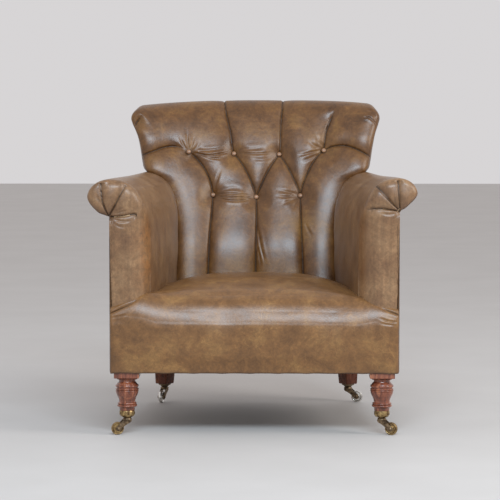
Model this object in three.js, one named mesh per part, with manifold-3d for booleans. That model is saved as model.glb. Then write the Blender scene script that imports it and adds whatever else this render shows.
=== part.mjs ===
// A scroll-armed, deep-buttoned leather armchair on turned front legs, raked rear legs and four castors.
// Millimetres, +Z up. The chair faces -Y. +X is to the right as seen from the front, and "left" is -X.
// The origin is on the floor under the middle of the chair. "Depth" is measured back from the seat's front.

import * as THREE from "three";
import { mergeVertices } from "three/addons/utils/BufferGeometryUtils.js";
import Module from "manifold-3d";

const wasm = await Module();
wasm.setup();

// ---- Driving dimensions ----

const OVERALL_DEPTH = 800;
const GAP = 0.4; // between pieces that touch
const LEATHER = 3; // a cover with its wadding

const BODY_HALF_WIDTH = 357; // over the outside arm covers, at the front
const BODY_TAPER = 0.1; // how fast the sides close in towards the back
const BODY_BOTTOM = 155;
const BOW = 45; // how far the back curves forward at BOW_AT from the middle
const BOW_AT = 300;

const RAIL_BOTTOM = 160;
const RAIL_TOP = 232;
const RAIL_THICKNESS = 32;
const RAIL_INSET = 9; // from the outside covers to the rails
const RAIL_MITRE = 12; // from the rear legs' centres to the ends of the rear rail

const LEG_X = 316.5;
const LEG_DEPTH = 35.5;
const LEG_BLOCK = 62;
const LEG_BLOCK_BOTTOM = 144;
const CUP_TOP = 60;

const REAR_LEG_X = 247;
const REAR_LEG_DEPTH = 612;
const REAR_LEG_TURN = THREE.MathUtils.degToRad(36);
const REAR_LEG_BOTTOM = 50;
const REAR_FOOT = [251, 648]; // x and depth of the rear leg's foot
const REAR_LEG_TOP_SIZE = 43;
const REAR_FOOT_SIZE = 33;

const ARM_FRONT = 15; // depth of the arms' front face
const ARM_TOP = 631;
const ARM_NECK = 541; // where the scroll meets the outside cover
const ARM_PAD = 26;
const ARM_SKIN_BOTTOM = 317; // tucked in beside the seat
const ARM_SPRING = 490; // height at which the inside of the arm starts to roll outwards
const SCROLL_X = 360;
const SCROLL_Z = 586;
const SCROLL_HALF_WIDTH = 52;
const SCROLL_HALF_HEIGHT = ARM_TOP - SCROLL_Z;
const SCROLL_END = -0.9; // angle at which the scroll turns in to the neck, from +X
const SCROLL_BACK = 0.6; // the scroll's overhang at the back, as a share of the overhang at the front

const BACK_TOP = 820;
const BACK_ROLL = 58; // radius of the scroll along the top of the back
const BACK_ROLL_DEPTH = OVERALL_DEPTH - BACK_ROLL;
const BACK_ROLL_Z = BACK_TOP - BACK_ROLL;
const BACK_RAKE = THREE.MathUtils.degToRad(21);
const BACK_BOTTOM = 300;
const BACK_HALF = { foot: 207, waist: 213, shoulder: 265, flare: 300, top: 343 }; // half widths, going up
const BACK_NECK = 690; // where the roll meets the outside back cover
const OUTSIDE_BACK_BOTTOM = 682; // depth at the bottom edge
const OUTSIDE_BACK_TOP = 762; // depth at the neck
const BACK_PAD = 44;
const ROLL_PAD = 18;

const BUTTON_ROWS = [
  { z: 681, xs: [-183, -61, 61, 183] },
  { z: 565, xs: [-118, 0, 118] },
];
const BUTTON_RADIUS = 7.5;
const PIT_DEPTH = 26;
const PIT_RADIUS = 62;

const SEAT_EDGE = 334; // top of the seat's front edge
const SEAT_CROWN = 382;
const SEAT_CROWN_DEPTH = 270;
const SEAT_SIDE = 356; // height where the seat meets the arms, beside the crown
const SEAT_CORNER = 338; // and at its corners
const SEAT_LIP = 58; // radius of the front edge
const SEAT_BACK = 499; // depth of the seat's rear edge at its middle
const SEAT_UNDERSIDE = 304;

const WHEEL_RADIUS = 16;
const WHEEL_WIDTH = 10;
const WHEEL_SIDES = 16;
const TRAIL = 25; // from the swivel axis to the axle
const PINTLE_RADIUS = 4;
const AXLE_RADIUS = 2.5;
const FORK_TOP = 43;

// ---- Materials ----

const material = (color, roughness, metalness = 0) =>
  new THREE.MeshStandardMaterial({ color, roughness, metalness });
const LEATHER_BROWN = material(0x7a5c3e, 0.42);
const MAHOGANY = material(0x5e2a18, 0.3);
const BEECH = material(0xb98f5e, 0.7);
const BRASS = material(0xb08d4a, 0.32, 1);
const STEEL = material(0x8a8a88, 0.4, 1);
const HORSEHAIR = material(0x4a4036, 0.95);
const JUTE = material(0x9c8458, 0.9);
const BLACK_CLOTH = material(0x1d1b19, 0.95);

// ---- Helpers ----

const { lerp, smoothstep, clamp } = THREE.MathUtils;
const at = (x, depth, z) => new THREE.Vector3(x, depth - OVERALL_DEPTH / 2, z);
const bodySide = (depth) => BODY_HALF_WIDTH - BODY_TAPER * depth;
const bow = (x) => BOW * (x / BOW_AT) ** 2;
const chair = new THREE.Group();

function warp(geometry, map) {
  const points = geometry.getAttribute("position");
  for (let i = 0; i < points.count; i++) {
    const moved = map(points.getX(i), points.getY(i), points.getZ(i));
    points.setXYZ(i, moved.x, moved.y, moved.z);
  }
  return geometry;
}

function solid(geometry) {
  const bare = geometry.clone();
  bare.deleteAttribute("normal");
  bare.deleteAttribute("uv");
  const merged = mergeVertices(bare, 1e-3);
  return new wasm.Manifold(
    new wasm.Mesh({
      numProp: 3,
      vertProperties: merged.getAttribute("position").array,
      triVerts: new Uint32Array(merged.index.array),
    }),
  );
}

// A block from (0, 0, 0) to (1, 1, 1), divided along each axis, with its shared vertices merged.
function grid(columns, rows, layers) {
  const box = new THREE.BoxGeometry(1, 1, 1, columns, rows, layers).translate(0.5, 0.5, 0.5);
  box.deleteAttribute("normal");
  box.deleteAttribute("uv");
  return mergeVertices(box, 1e-3);
}

// The largest body of a solid, as a geometry, without triangles thinner than a tolerance.
function geometryOf(made, tolerance = 0.02) {
  const bodies = made.decompose().toSorted((a, b) => b.volume() - a.volume());
  const mesh = bodies[0].asOriginal().simplify(tolerance).getMesh();
  const geometry = new THREE.BufferGeometry();
  const points = new Float32Array(mesh.vertProperties);
  geometry.setAttribute("position", new THREE.BufferAttribute(points, 3));
  geometry.setIndex(new THREE.BufferAttribute(new Uint32Array(mesh.triVerts), 1));
  return geometry;
}

function add(name, geometry, look, parent = chair) {
  const mesh = new THREE.Mesh(geometry, look);
  mesh.name = name;
  parent.add(mesh);
  return mesh;
}

// The same piece on both sides: built on the right, mirrored on the left.
function addPair(name, geometry, look) {
  add(`${name}_right`, geometry, look);
  add(`${name}_left`, geometry, look).scale.x = -1;
}

// A board whose outline is given in plan, as [x, depth] points, between two heights.
function board(outline, bottom, top) {
  const points = outline.map(([x, depth]) => new THREE.Vector2(x, depth - OVERALL_DEPTH / 2));
  const settings = { depth: top - bottom, bevelEnabled: false };
  return new THREE.ExtrudeGeometry(new THREE.Shape(points), settings).translate(0, 0, bottom);
}

const rectangle = (x0, x1, depth0, depth1) => [[x0, depth0], [x1, depth0], [x1, depth1], [x0, depth1]];

// A surface, which gives a point for u and v from 0 to 1, moved along its outward normal, or along that
// of a smoother surface.
function offset(surface, distance, smooth = surface) {
  const step = 1e-3;
  return (u, v) => {
    const alongU = smooth(Math.min(u + step, 1), v).sub(smooth(Math.max(u - step, 0), v));
    const alongV = smooth(u, Math.min(v + step, 1)).sub(smooth(u, Math.max(v - step, 0)));
    return surface(u, v).addScaledVector(alongU.cross(alongV).normalize(), distance);
  };
}

// A closed slab between two such surfaces, the inner one first. Both faces are divided along the same
// diagonals, so a thin slab's faces never cross.
function between(columns, rows, inner, outer) {
  const points = [];
  const faces = [];
  const index = (i, j, face) => 2 * (j * (columns + 1) + i) + face;
  const quad = (a, b, c, d) => faces.push(a, b, c, a, c, d);
  for (let j = 0; j <= rows; j++)
    for (let i = 0; i <= columns; i++)
      for (const surface of [inner, outer]) points.push(...surface(i / columns, j / rows).toArray());
  for (let j = 0; j < rows; j++)
    for (let i = 0; i < columns; i++) {
      quad(index(i, j, 1), index(i + 1, j, 1), index(i + 1, j + 1, 1), index(i, j + 1, 1));
      quad(index(i, j, 0), index(i, j + 1, 0), index(i + 1, j + 1, 0), index(i + 1, j, 0));
    }
  for (let i = 0; i < columns; i++) {
    quad(index(i, 0, 0), index(i + 1, 0, 0), index(i + 1, 0, 1), index(i, 0, 1));
    quad(index(i, rows, 0), index(i, rows, 1), index(i + 1, rows, 1), index(i + 1, rows, 0));
  }
  for (let j = 0; j < rows; j++) {
    quad(index(0, j, 0), index(0, j, 1), index(0, j + 1, 1), index(0, j + 1, 0));
    quad(index(columns, j, 0), index(columns, j + 1, 0), index(columns, j + 1, 1), index(columns, j, 1));
  }
  const geometry = new THREE.BufferGeometry().setIndex(faces);
  geometry.setAttribute("position", new THREE.Float32BufferAttribute(points, 3));
  return geometry;
}

function slab(columns, rows, surface, inner, outer) {
  return between(columns, rows, offset(surface, inner), offset(surface, outer));
}

// ---- Seat frame ----

function legBlock(x, depth, size, turn, bottom, top) {
  return new THREE.BoxGeometry(size, size, top - bottom)
    .rotateZ(turn)
    .translate(x, depth - OVERALL_DEPTH / 2, (bottom + top) / 2);
}

// A rear leg's block, with the gap round it, as it passes through the rails.
function rearLegHole(side) {
  const size = REAR_LEG_TOP_SIZE + 2 * GAP;
  const turn = side * REAR_LEG_TURN;
  return solid(legBlock(side * REAR_LEG_X, REAR_LEG_DEPTH, size, turn, RAIL_BOTTOM - 1, RAIL_TOP + 1));
}

function seatFrame() {
  const inner = LEG_X - LEG_BLOCK / 2 - GAP;
  const legBack = LEG_DEPTH + LEG_BLOCK / 2 + GAP;
  const railFront = 6;
  const railBack = railFront + RAIL_THICKNESS;
  const frontRail = rectangle(-inner, inner, railFront, railBack);
  add("front_seat_rail", board(frontRail, RAIL_BOTTOM, RAIL_TOP), BEECH);

  const outerFace = (depth) => bodySide(depth) - RAIL_INSET;
  const innerFace = (depth) => outerFace(depth) - RAIL_THICKNESS;
  const sideRail = board(
    [
      [innerFace(legBack), legBack],
      [outerFace(legBack), legBack],
      [outerFace(REAR_LEG_DEPTH), REAR_LEG_DEPTH],
      [innerFace(REAR_LEG_DEPTH), REAR_LEG_DEPTH],
    ],
    RAIL_BOTTOM,
    RAIL_TOP,
  );
  addPair("side_seat_rail", geometryOf(solid(sideRail).subtract(rearLegHole(1))), BEECH);

  const rearOuter = OUTSIDE_BACK_BOTTOM - RAIL_INSET;
  const half = REAR_LEG_X - RAIL_MITRE;
  const steps = [-1, -0.6, -0.2, 0.2, 0.6, 1].map((share) => share * half);
  const rearRail = board(
    [
      ...steps.map((x) => [x, rearOuter - RAIL_THICKNESS - bow(x)]),
      ...steps.toReversed().map((x) => [x, rearOuter - bow(x)]),
    ],
    RAIL_BOTTOM,
    RAIL_TOP,
  );
  const betweenLegs = solid(rearRail).subtract(rearLegHole(1)).subtract(rearLegHole(-1));
  add("rear_seat_rail", geometryOf(betweenLegs), BEECH);

  const braceReach = 208; // from the middle of the chair, along the front rail
  const braceEnd = 135; // depth along the side rail
  const brace = [
    [braceReach, railBack + GAP],
    [inner, railBack + GAP],
    [inner, legBack + GAP],
    [innerFace(legBack) - GAP, legBack + GAP],
    [innerFace(braceEnd) - GAP, braceEnd],
  ];
  addPair("front_corner_brace", board(brace, RAIL_BOTTOM + 20, RAIL_TOP - 6), BEECH);
}

// ---- Legs ----

// The turned leg's outline as [radius, height], from the spigot in the castor cup up to the square block.
const TURNING = [
  [0, 53], [14, 53], [14.5, CUP_TOP], [18.5, CUP_TOP + 0.5], [19, 67], [24.5, 72], [25.2, 75],
  [24, 77.5], [20.2, 82], [20.4, 86], [25, 97], [28, 104], [29.2, 110], [28, 112], [29.4, 114],
  [29.4, 121], [27.6, 124], [21, 130], [20.5, 134], [26, 138], [27, 143],
  [26, LEG_BLOCK_BOTTOM + 1], [0, LEG_BLOCK_BOTTOM + 1],
];

function frontLegs() {
  const outline = TURNING.map(([radius, z]) => new THREE.Vector2(radius, z));
  const turned = new THREE.LatheGeometry(outline, 14)
    .rotateX(Math.PI / 2)
    .translate(LEG_X, LEG_DEPTH - OVERALL_DEPTH / 2, 0);
  const block = legBlock(LEG_X, LEG_DEPTH, LEG_BLOCK, 0, LEG_BLOCK_BOTTOM, RAIL_TOP);
  addPair("front_leg", geometryOf(solid(turned).add(solid(block))), MAHOGANY);
}

function rearLegs() {
  const box = new THREE.BoxGeometry(1, 1, 2, 1, 1, 2);
  const leg = warp(box, (x, y, level) => {
    const foot = level < -0.5;
    const z = level > 0.5 ? RAIL_TOP : foot ? REAR_LEG_BOTTOM : RAIL_BOTTOM - 2;
    const size = foot ? REAR_FOOT_SIZE : REAR_LEG_TOP_SIZE;
    const [centreX, centreDepth] = foot ? REAR_FOOT : [REAR_LEG_X, REAR_LEG_DEPTH];
    const corner = new THREE.Vector2(x * size, y * size).rotateAround(new THREE.Vector2(), REAR_LEG_TURN);
    return at(centreX + corner.x, centreDepth + corner.y, z);
  });
  addPair("rear_leg", leg, MAHOGANY);
}

// ---- Arms ----

const ARM_INNER = 262; // inside face of the arm at the front
const ARM_INNER_BACK = 210; // and where it meets the back

// Depth of the outside back at its middle, and of the arms' rear ends.
const outsideBack = (z) =>
  lerp(OUTSIDE_BACK_BOTTOM, OUTSIDE_BACK_TOP, (z - BODY_BOTTOM) / (BACK_NECK - BODY_BOTTOM));
const armRear = (z) => outsideBack(z) - BOW - 4;

// Moves a point of the arm's front section to its place further back, where the arm is closer in.
function alongArm(x, z, depth) {
  const share = clamp((depth - ARM_FRONT) / (SEAT_BACK - ARM_FRONT), 0, 1.3);
  const armBack = (bodySide(SEAT_BACK) - ARM_INNER_BACK) / (BODY_HALF_WIDTH - ARM_INNER);
  const scale = lerp(1, x > BODY_HALF_WIDTH ? SCROLL_BACK : armBack, Math.min(share, 1));
  return at(bodySide(depth) + (x - BODY_HALF_WIDTH) * scale, depth, z);
}

// The arm's section, from the seat up the inside, over the top and round the scroll to its neck.
function armPath(path, inset, bottom) {
  const inside = ARM_INNER + inset;
  const top = ARM_TOP - inset;
  path.moveTo(inside, bottom);
  path.lineTo(inside, ARM_SPRING);
  path.bezierCurveTo(inside, SCROLL_Z, 300, top, SCROLL_X, top);
  const rx = SCROLL_HALF_WIDTH - inset;
  const rz = SCROLL_HALF_HEIGHT - inset;
  path.absellipse(SCROLL_X, SCROLL_Z, rx, rz, Math.PI / 2, SCROLL_END, true);
  path.lineTo(SCROLL_X + 2 + inset, ARM_NECK + inset);
  return path;
}

function armSurface() {
  const path = armPath(new THREE.Path(), 0, ARM_SKIN_BOTTOM);
  return (u, v) => {
    const point = path.getPointAt(u);
    return alongArm(point.x, point.y, lerp(ARM_FRONT, armRear(point.y), v));
  };
}

function armParts() {
  const surface = armSurface();
  const skin = slab(16, 5, surface, -LEATHER, 0);
  const facing = new THREE.Shape();
  armPath(facing, 0.5, ARM_SKIN_BOTTOM);
  const outerEdge = BODY_HALF_WIDTH - LEATHER - GAP;
  facing.lineTo(outerEdge, ARM_NECK - 4);
  facing.lineTo(outerEdge, ARM_SKIN_BOTTOM);
  const cap = warp(
    new THREE.ExtrudeGeometry(facing, { depth: LEATHER, bevelEnabled: false, curveSegments: 6 }),
    (x, z, depth) => at(x, ARM_FRONT - 0.5 + LEATHER - depth, z),
  );
  const room = solid(backRoom()).add(solid(uprightRoom()));
  addPair("arm_cover", geometryOf(solid(skin).add(solid(cap)).subtract(room)), LEATHER_BROWN);
  const padSurface = (u, v) => surface(lerp(0, 0.94, u), lerp(0.012, 0.99, v));
  const pad = slab(15, 5, padSurface, -ARM_PAD, -LEATHER - 1.2);
  addPair("arm_stuffing", geometryOf(solid(pad).subtract(room)), HORSEHAIR);

  const stumpIn = 300;
  const stumpOut = 346;
  const stumpTop = 598;
  const stump = new THREE.Shape();
  stump.moveTo(stumpIn, RAIL_TOP + GAP);
  stump.lineTo(stumpIn, 500);
  stump.bezierCurveTo(stumpIn, 560, 325, stumpTop, SCROLL_X, stumpTop);
  stump.absarc(SCROLL_X, stumpTop - 14, 14, Math.PI / 2, -1.2, true);
  stump.lineTo(stumpOut, 548);
  stump.lineTo(stumpOut, RAIL_TOP + GAP);
  const stumpDepth = 28;
  const stumpFront = ARM_FRONT + 5;
  const stumpBoard = warp(
    new THREE.ExtrudeGeometry(stump, { depth: stumpDepth, bevelEnabled: false, curveSegments: 5 }),
    (x, z, depth) => at(x, stumpFront + stumpDepth - depth, z),
  );
  addPair("arm_stump", stumpBoard, BEECH);

  const railFront = stumpFront + stumpDepth + GAP;
  const railBack = 650;
  const topRail = warp(new THREE.CylinderGeometry(14, 14, 1, 10), (x, share, z) => {
    const depth = lerp(railFront, railBack, 0.5 - share);
    return at(bodySide(depth) - 10 + x * lerp(1, 0.7, 0.5 - share), depth, SCROLL_Z - 6 - z);
  });
  addPair("arm_top_rail", topRail, BEECH);

  const face = (depth, inset) => [bodySide(depth) - RAIL_INSET - inset, depth];
  const tackBack = 608;
  const tackOutline = [face(railFront, 22), face(railFront, 0), face(tackBack, 0), face(tackBack, 22)];
  addPair("arm_tack_rail", board(tackOutline, 290, 330), BEECH);

  const outside = (u, v) => {
    const z = lerp(BODY_BOTTOM, ARM_NECK - 2, v);
    const depth = lerp(ARM_FRONT + 3, armRear(z), u);
    return at(bodySide(depth), depth, z);
  };
  addPair("outside_arm_cover", slab(4, 4, outside, -2.6, 0), LEATHER_BROWN);
}

// What the arms leave free: the back's own thickness, and the space inside the uprights' outer faces.
function backRoom() {
  const wide = (u, v) => backPoint(2 * u - 1, v, 0).multiply(new THREE.Vector3(1.006, 1, 1));
  const rear = (u, v) => offset(wide, -lerp(110, 50, smoothstep(v, ROLL_AT - 0.1, ROLL_AT)))(u, v);
  return between(BACK_COLUMNS, BACK_ROWS, rear, offset(wide, 1.5));
}

function uprightRoom() {
  const side = UPRIGHT_OUTER + GAP;
  return board([[0, 594], [side, 594], [side, 790], [0, 790]], ARM_SKIN_BOTTOM - 10, BACK_TOP);
}

// ---- Back ----

// Half the width of the inside back: narrow between the arms, then flaring above them.
function backHalfWidth(z) {
  const { foot, waist, shoulder, flare, top } = BACK_HALF;
  const toWaist = (waist - foot) * smoothstep(z, 400, 520);
  const toShoulder = (shoulder - waist) * smoothstep(z, 540, 640);
  const overArms = lerp(flare, top, clamp((z - ARM_TOP) / 150, 0, 1));
  return lerp(foot + toWaist + toShoulder, overArms, smoothstep(z, ARM_TOP + 1, ARM_TOP + 15));
}

// The inside back's profile as a Vector2 of depth and height: a raked line, then the roll over the top.
function backProfile() {
  const outwards = new THREE.Vector2(-Math.cos(BACK_RAKE), Math.sin(BACK_RAKE));
  const rollStart = new THREE.Vector2(BACK_ROLL_DEPTH, BACK_ROLL_Z).addScaledVector(outwards, BACK_ROLL);
  const run = Math.tan(BACK_RAKE) * (rollStart.y - BACK_BOTTOM);
  const path = new THREE.CurvePath();
  const foot = new THREE.Vector2(rollStart.x - run, BACK_BOTTOM);
  const belly = foot.clone().lerp(rollStart, 0.4).add(new THREE.Vector2(-16, 0));
  path.add(new THREE.QuadraticBezierCurve(foot, belly, rollStart));
  const centre = [BACK_ROLL_DEPTH, BACK_ROLL_Z];
  path.add(
    new THREE.EllipseCurve(...centre, BACK_ROLL, BACK_ROLL, Math.PI - BACK_RAKE, -Math.PI * 0.36, true),
  );
  return path;
}

const BACK_PROFILE = backProfile();
const [RAKED_LENGTH, ROLL_LENGTH] = BACK_PROFILE.curves.map((curve) => curve.getLength());
const ROLL_AT = RAKED_LENGTH / (RAKED_LENGTH + ROLL_LENGTH); // where the roll starts along the profile

function tuft(x, z) {
  const nearest = Math.min(
    ...BUTTON_ROWS.flatMap((row) => row.xs.map((buttonX) => Math.hypot(x - buttonX, z - row.z))),
  );
  return PIT_DEPTH * (1 - smoothstep(nearest, 0, PIT_RADIUS));
}

// How far the roll's ends round down at a share of its half-width.
const cornerDrop = (side) => 12 * Math.abs(side) ** 8;

// A point of the inside back at a share of its half-width (-1 to 1) and of its profile (0 to 1).
function backPoint(side, v, tufts) {
  const point = BACK_PROFILE.getPointAt(v);
  const inRoll = v > ROLL_AT;
  const x = side * backHalfWidth(point.y);
  const drop = inRoll ? cornerDrop(side) : 0;
  const dent = inRoll ? 0 : tufts * tuft(x, point.y);
  return at(x, point.x - bow(x) + dent, point.y - drop);
}

// The direction from the inside back's surface into its stuffing, at a share of its profile.
function backInwards(v) {
  const middle = (a, b) => backPoint(2 * a - 1, b, 0);
  return offset(middle, -1)(0.5, v).sub(middle(0.5, v));
}

const BACK_COLUMNS = 14;
const BACK_ROWS = 16;
const BACK_SIDE = 2 / BACK_COLUMNS; // share of the cover's half-width that turns round the side
const UPRIGHT_OUTER = 288; // at the top of the uprights

// The leather of the inside back: across the front and over the roll, then round both sides.
function backCover(u, v, tufts = 1) {
  const side = 2 * u - 1;
  const across = clamp(side / (1 - BACK_SIDE), -1, 1);
  const turned = Math.max(Math.abs(side) - 1 + BACK_SIDE, 0) / BACK_SIDE;
  const front = backPoint(across, v, tufts);
  const reach = lerp(BACK_PAD + 12, BACK_ROLL - 12, smoothstep(v, ROLL_AT - 0.1, ROLL_AT));
  return front.addScaledVector(backInwards(v), turned * reach);
}

const plainCover = (u, v) => backCover(u, v, 0);

function backParts() {
  const seats = buttonSeats();
  const leather = between(BACK_COLUMNS, BACK_ROWS, offset(backCover, -LEATHER, plainCover), backCover);
  add("inside_back_cover", geometryOf(solid(leather).subtract(seats)), LEATHER_BROWN);

  const plain = (u, v) => backPoint(2 * u - 1, v, 0);
  const underLeather = offset((u, v) => backPoint(2 * u - 1, v, 1), -LEATHER - 6 * GAP, plain);
  const coverRoom = between(BACK_COLUMNS - 2, BACK_ROWS, underLeather, offset(plain, 30));
  const inset = (u, v) => backPoint((2 * u - 1) * 0.95, lerp(0.012, 0.985, v), 0);
  const rear = (u, v) => {
    const thickness = lerp(BACK_PAD, ROLL_PAD, smoothstep(v, ROLL_AT - 0.12, ROLL_AT + 0.04));
    return inset(u, v).addScaledVector(backInwards(lerp(0.012, 0.985, v)), thickness);
  };
  const pad = solid(between(8, 10, rear, inset)).subtract(solid(coverRoom)).subtract(seats);
  add("back_stuffing", geometryOf(pad, 0.1), HORSEHAIR);

  const canvasSurface = (u, v) => {
    const point = BACK_PROFILE.getPointAt(lerp(0.04, ROLL_AT - 0.12, v));
    const x = (2 * u - 1) * Math.min(backHalfWidth(point.y) - 20, 190);
    return at(x, point.x - bow(x), point.y);
  };
  add("back_canvas", slab(6, 6, canvasSurface, -BACK_PAD - 5, -BACK_PAD - 3.5), JUTE);

  const uprightSize = 30;
  const uprightTop = 716;
  const upright = warp(new THREE.BoxGeometry(1, 1, 1).translate(0, 0, 0.5), (x, y, share) =>
    at(
      lerp(UPRIGHT_OUTER - 33, UPRIGHT_OUTER - 15, share) + uprightSize * x,
      lerp(633, 700, share) + uprightSize * y,
      lerp(RAIL_TOP + GAP, uprightTop, share),
    ),
  );
  addPair("back_upright", upright, BEECH);

  const topRail = warp(new THREE.CylinderGeometry(26, 26, 1, 10, 6), (x, share, z) => {
    const across = 2 * share * 305;
    return at(across, BACK_ROLL_DEPTH - bow(across) + x, BACK_ROLL_Z - z - cornerDrop(2 * share));
  });
  add("back_top_rail", topRail, BEECH);

  add("back_tack_rail", board(rectangle(-238, 238, 596, 620), 298, 338), BEECH);

  const outside = (u, v) => {
    const z = lerp(BODY_BOTTOM, BACK_NECK, v);
    const low = bodySide(642) - 4;
    const half = lerp(low, Math.max(low, backHalfWidth(z) - 14), smoothstep(z, 560, 680));
    const x = (1 - 2 * u) * half;
    return at(x, outsideBack(z) - bow(x), z);
  };
  add("outside_back_cover", slab(10, 6, outside, -2.6, 0), LEATHER_BROWN);
}

const BUTTON_FACING = new THREE.Vector3(0, -Math.cos(BACK_RAKE), Math.sin(BACK_RAKE));

// Stands a turned shape, with its axis along +Y, on a button's place and facing out of the back.
function placeButton(object, x, z, out) {
  const seat = backPoint(x / backHalfWidth(z), shareAtHeight(z), 1);
  object.quaternion.setFromUnitVectors(new THREE.Vector3(0, 1, 0), BUTTON_FACING);
  object.position.copy(seat).addScaledVector(BUTTON_FACING, out);
}

// The hollows that the buttons sit in.
function buttonSeats() {
  const depth = 30;
  const places = BUTTON_ROWS.flatMap((row) => row.xs.map((x) => [x, row.z]));
  const hollows = places.map(([x, z]) => {
    const radius = BUTTON_RADIUS + GAP;
    const hollow = new THREE.Object3D();
    placeButton(hollow, x, z, -GAP);
    hollow.updateMatrix();
    const shape = new THREE.CylinderGeometry(radius, radius, depth, 12).translate(0, depth / 2, 0);
    return solid(shape.applyMatrix4(hollow.matrix));
  });
  return hollows.slice(1).reduce((joined, hollow) => joined.add(hollow), hollows[0]);
}

function buttons() {
  const names = [["outer_left", "inner_left", "inner_right", "outer_right"], ["left", "middle", "right"]];
  const rowNames = ["top_button", "lower_button"];
  const outline = [[0, 0], [5, 0], [BUTTON_RADIUS, 2], [BUTTON_RADIUS * 0.8, 4.6], [0, 6]];
  const shape = outline.map(([radius, height]) => new THREE.Vector2(radius, height));
  BUTTON_ROWS.forEach((row, r) =>
    row.xs.forEach((x, i) => {
      const mesh = add(`${rowNames[r]}_${names[r][i]}`, new THREE.LatheGeometry(shape, 12), LEATHER_BROWN);
      placeButton(mesh, x, row.z, 0);
    }),
  );
}

// The share of the way along the back's profile at which it reaches a height, below the roll.
function shareAtHeight(z) {
  let low = 0;
  let high = ROLL_AT;
  for (let i = 0; i < 30; i++) {
    const middle = (low + high) / 2;
    if (BACK_PROFILE.getPointAt(middle).y < z) low = middle;
    else high = middle;
  }
  return low;
}

// ---- Seat ----

const armInnerFace = (depth) => alongArm(ARM_INNER, 0, depth).x;

// The seat's height at a share of its half-width (0 to 1) and a depth behind the front edge.
function seatHeight(side, depth) {
  const rise = (depth - SEAT_CROWN_DEPTH) / SEAT_CROWN_DEPTH;
  const middle = lerp(SEAT_CROWN, SEAT_EDGE, clamp(rise ** 2, 0, 1) * (rise < 0 ? 1 : 0.9));
  const edge = lerp(SEAT_SIDE, SEAT_CORNER, clamp(rise ** 2, 0, 1));
  return lerp(middle, edge, Math.abs(side) ** 2.4);
}

// The front edge's arc, by angle from straight up the front (0) to level with the top (a quarter turn).
function seatLip(x, angle) {
  const depth = SEAT_LIP * (1 - Math.cos(angle));
  return at(x, depth, SEAT_EDGE - SEAT_LIP + SEAT_LIP * Math.sin(angle));
}

// The front edge's angle where the border meets the arms' fronts.
const LIP_UNDER_ARM = Math.acos(1 - (ARM_FRONT - GAP) / SEAT_LIP);

function seatBorder(u, v) {
  const straight = 0.7;
  const x = (2 * u - 1) * (BODY_HALF_WIDTH - GAP);
  if (v < straight) return at(x, 0, lerp(BODY_BOTTOM, SEAT_EDGE - SEAT_LIP, v / straight));
  return seatLip(x, (LIP_UNDER_ARM * (v - straight)) / (1 - straight));
}

function seatTop(u, v) {
  const side = 2 * u - 1;
  const lipShare = 0.2;
  const width = (depth) => side * (armInnerFace(depth) - 1.5);
  if (v < lipShare) {
    const angle = lerp(LIP_UNDER_ARM - 0.3, Math.PI / 2, v / lipShare);
    const lip = seatLip(width(SEAT_LIP * (1 - Math.cos(angle))), angle);
    return lip.setZ(lip.z + (seatHeight(side, SEAT_LIP) - SEAT_EDGE) * (v / lipShare) ** 2);
  }
  const share = (v - lipShare) / (1 - lipShare);
  const rear = SEAT_BACK - bow(width(SEAT_BACK));
  const depth = lerp(SEAT_LIP, rear, share);
  return at(width(depth), depth, seatHeight(side, depth));
}

function seatParts() {
  const border = slab(4, 10, seatBorder, -LEATHER, 0);
  const top = slab(12, 10, seatTop, -LEATHER, -0.2);
  add("seat_cover", geometryOf(solid(border).add(solid(top))), LEATHER_BROWN);
  const stuffing = warp(grid(10, 8, 1), (across, share, level) => {
    const side = 2 * across - 1;
    const depth = lerp(RAIL_THICKNESS, SEAT_BACK - 1 - bow(side * ARM_INNER_BACK), share);
    const underTop = seatHeight(side, depth) - LEATHER - 2.5;
    const underLip = SEAT_EDGE - 14 - LEATHER - 2.5;
    const height = lerp(underLip, underTop, smoothstep(depth, 0, SEAT_LIP));
    return at(side * (armInnerFace(depth) - 6), depth, level < 0.5 ? SEAT_UNDERSIDE : height);
  });
  add("seat_stuffing", stuffing, HORSEHAIR);

  const rollTop = SEAT_EDGE - SEAT_LIP + 20;
  add("seat_front_roll", board(rectangle(-250, 250, 8, 30), RAIL_TOP + GAP, rollTop), HORSEHAIR);

  const canvasOutline = [[-238, 42], [238, 42], [204, 470], [-204, 470]];
  add("spring_canvas", board(canvasOutline, SEAT_UNDERSIDE - 2.4, SEAT_UNDERSIDE - GAP), JUTE);
  add("seat_webbing", webbing(), JUTE);
  add("seat_springs", springs(), STEEL);
  const clothOutline = [[-284, 70], [284, 70], [250, 565], [200, 625], [-200, 625], [-250, 565]];
  add("dust_cover", board(clothOutline, BODY_BOTTOM + 0.4, BODY_BOTTOM + 1.6), BLACK_CLOTH);
}

// Strips of webbing tacked under the rails, joined where they cross.
function webbing() {
  const bottom = RAIL_BOTTOM - 2.4;
  const top = RAIL_BOTTOM - GAP;
  const strips = [];
  const halfStrip = 26;
  const strip = (x0, x1, depth0, depth1) => board(rectangle(x0, x1, depth0, depth1), bottom, top);
  for (const x of [-150, -50, 50, 150]) strips.push(strip(x - halfStrip, x + halfStrip, 10, 635));
  for (const depth of [140, 240, 340, 440, 540]) {
    const half = bodySide(depth) - 24;
    strips.push(strip(-half, half, depth - halfStrip, depth + halfStrip));
  }
  const [first, ...rest] = strips.map(solid);
  return geometryOf(rest.reduce((joined, strip) => joined.add(strip), first));
}

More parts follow.
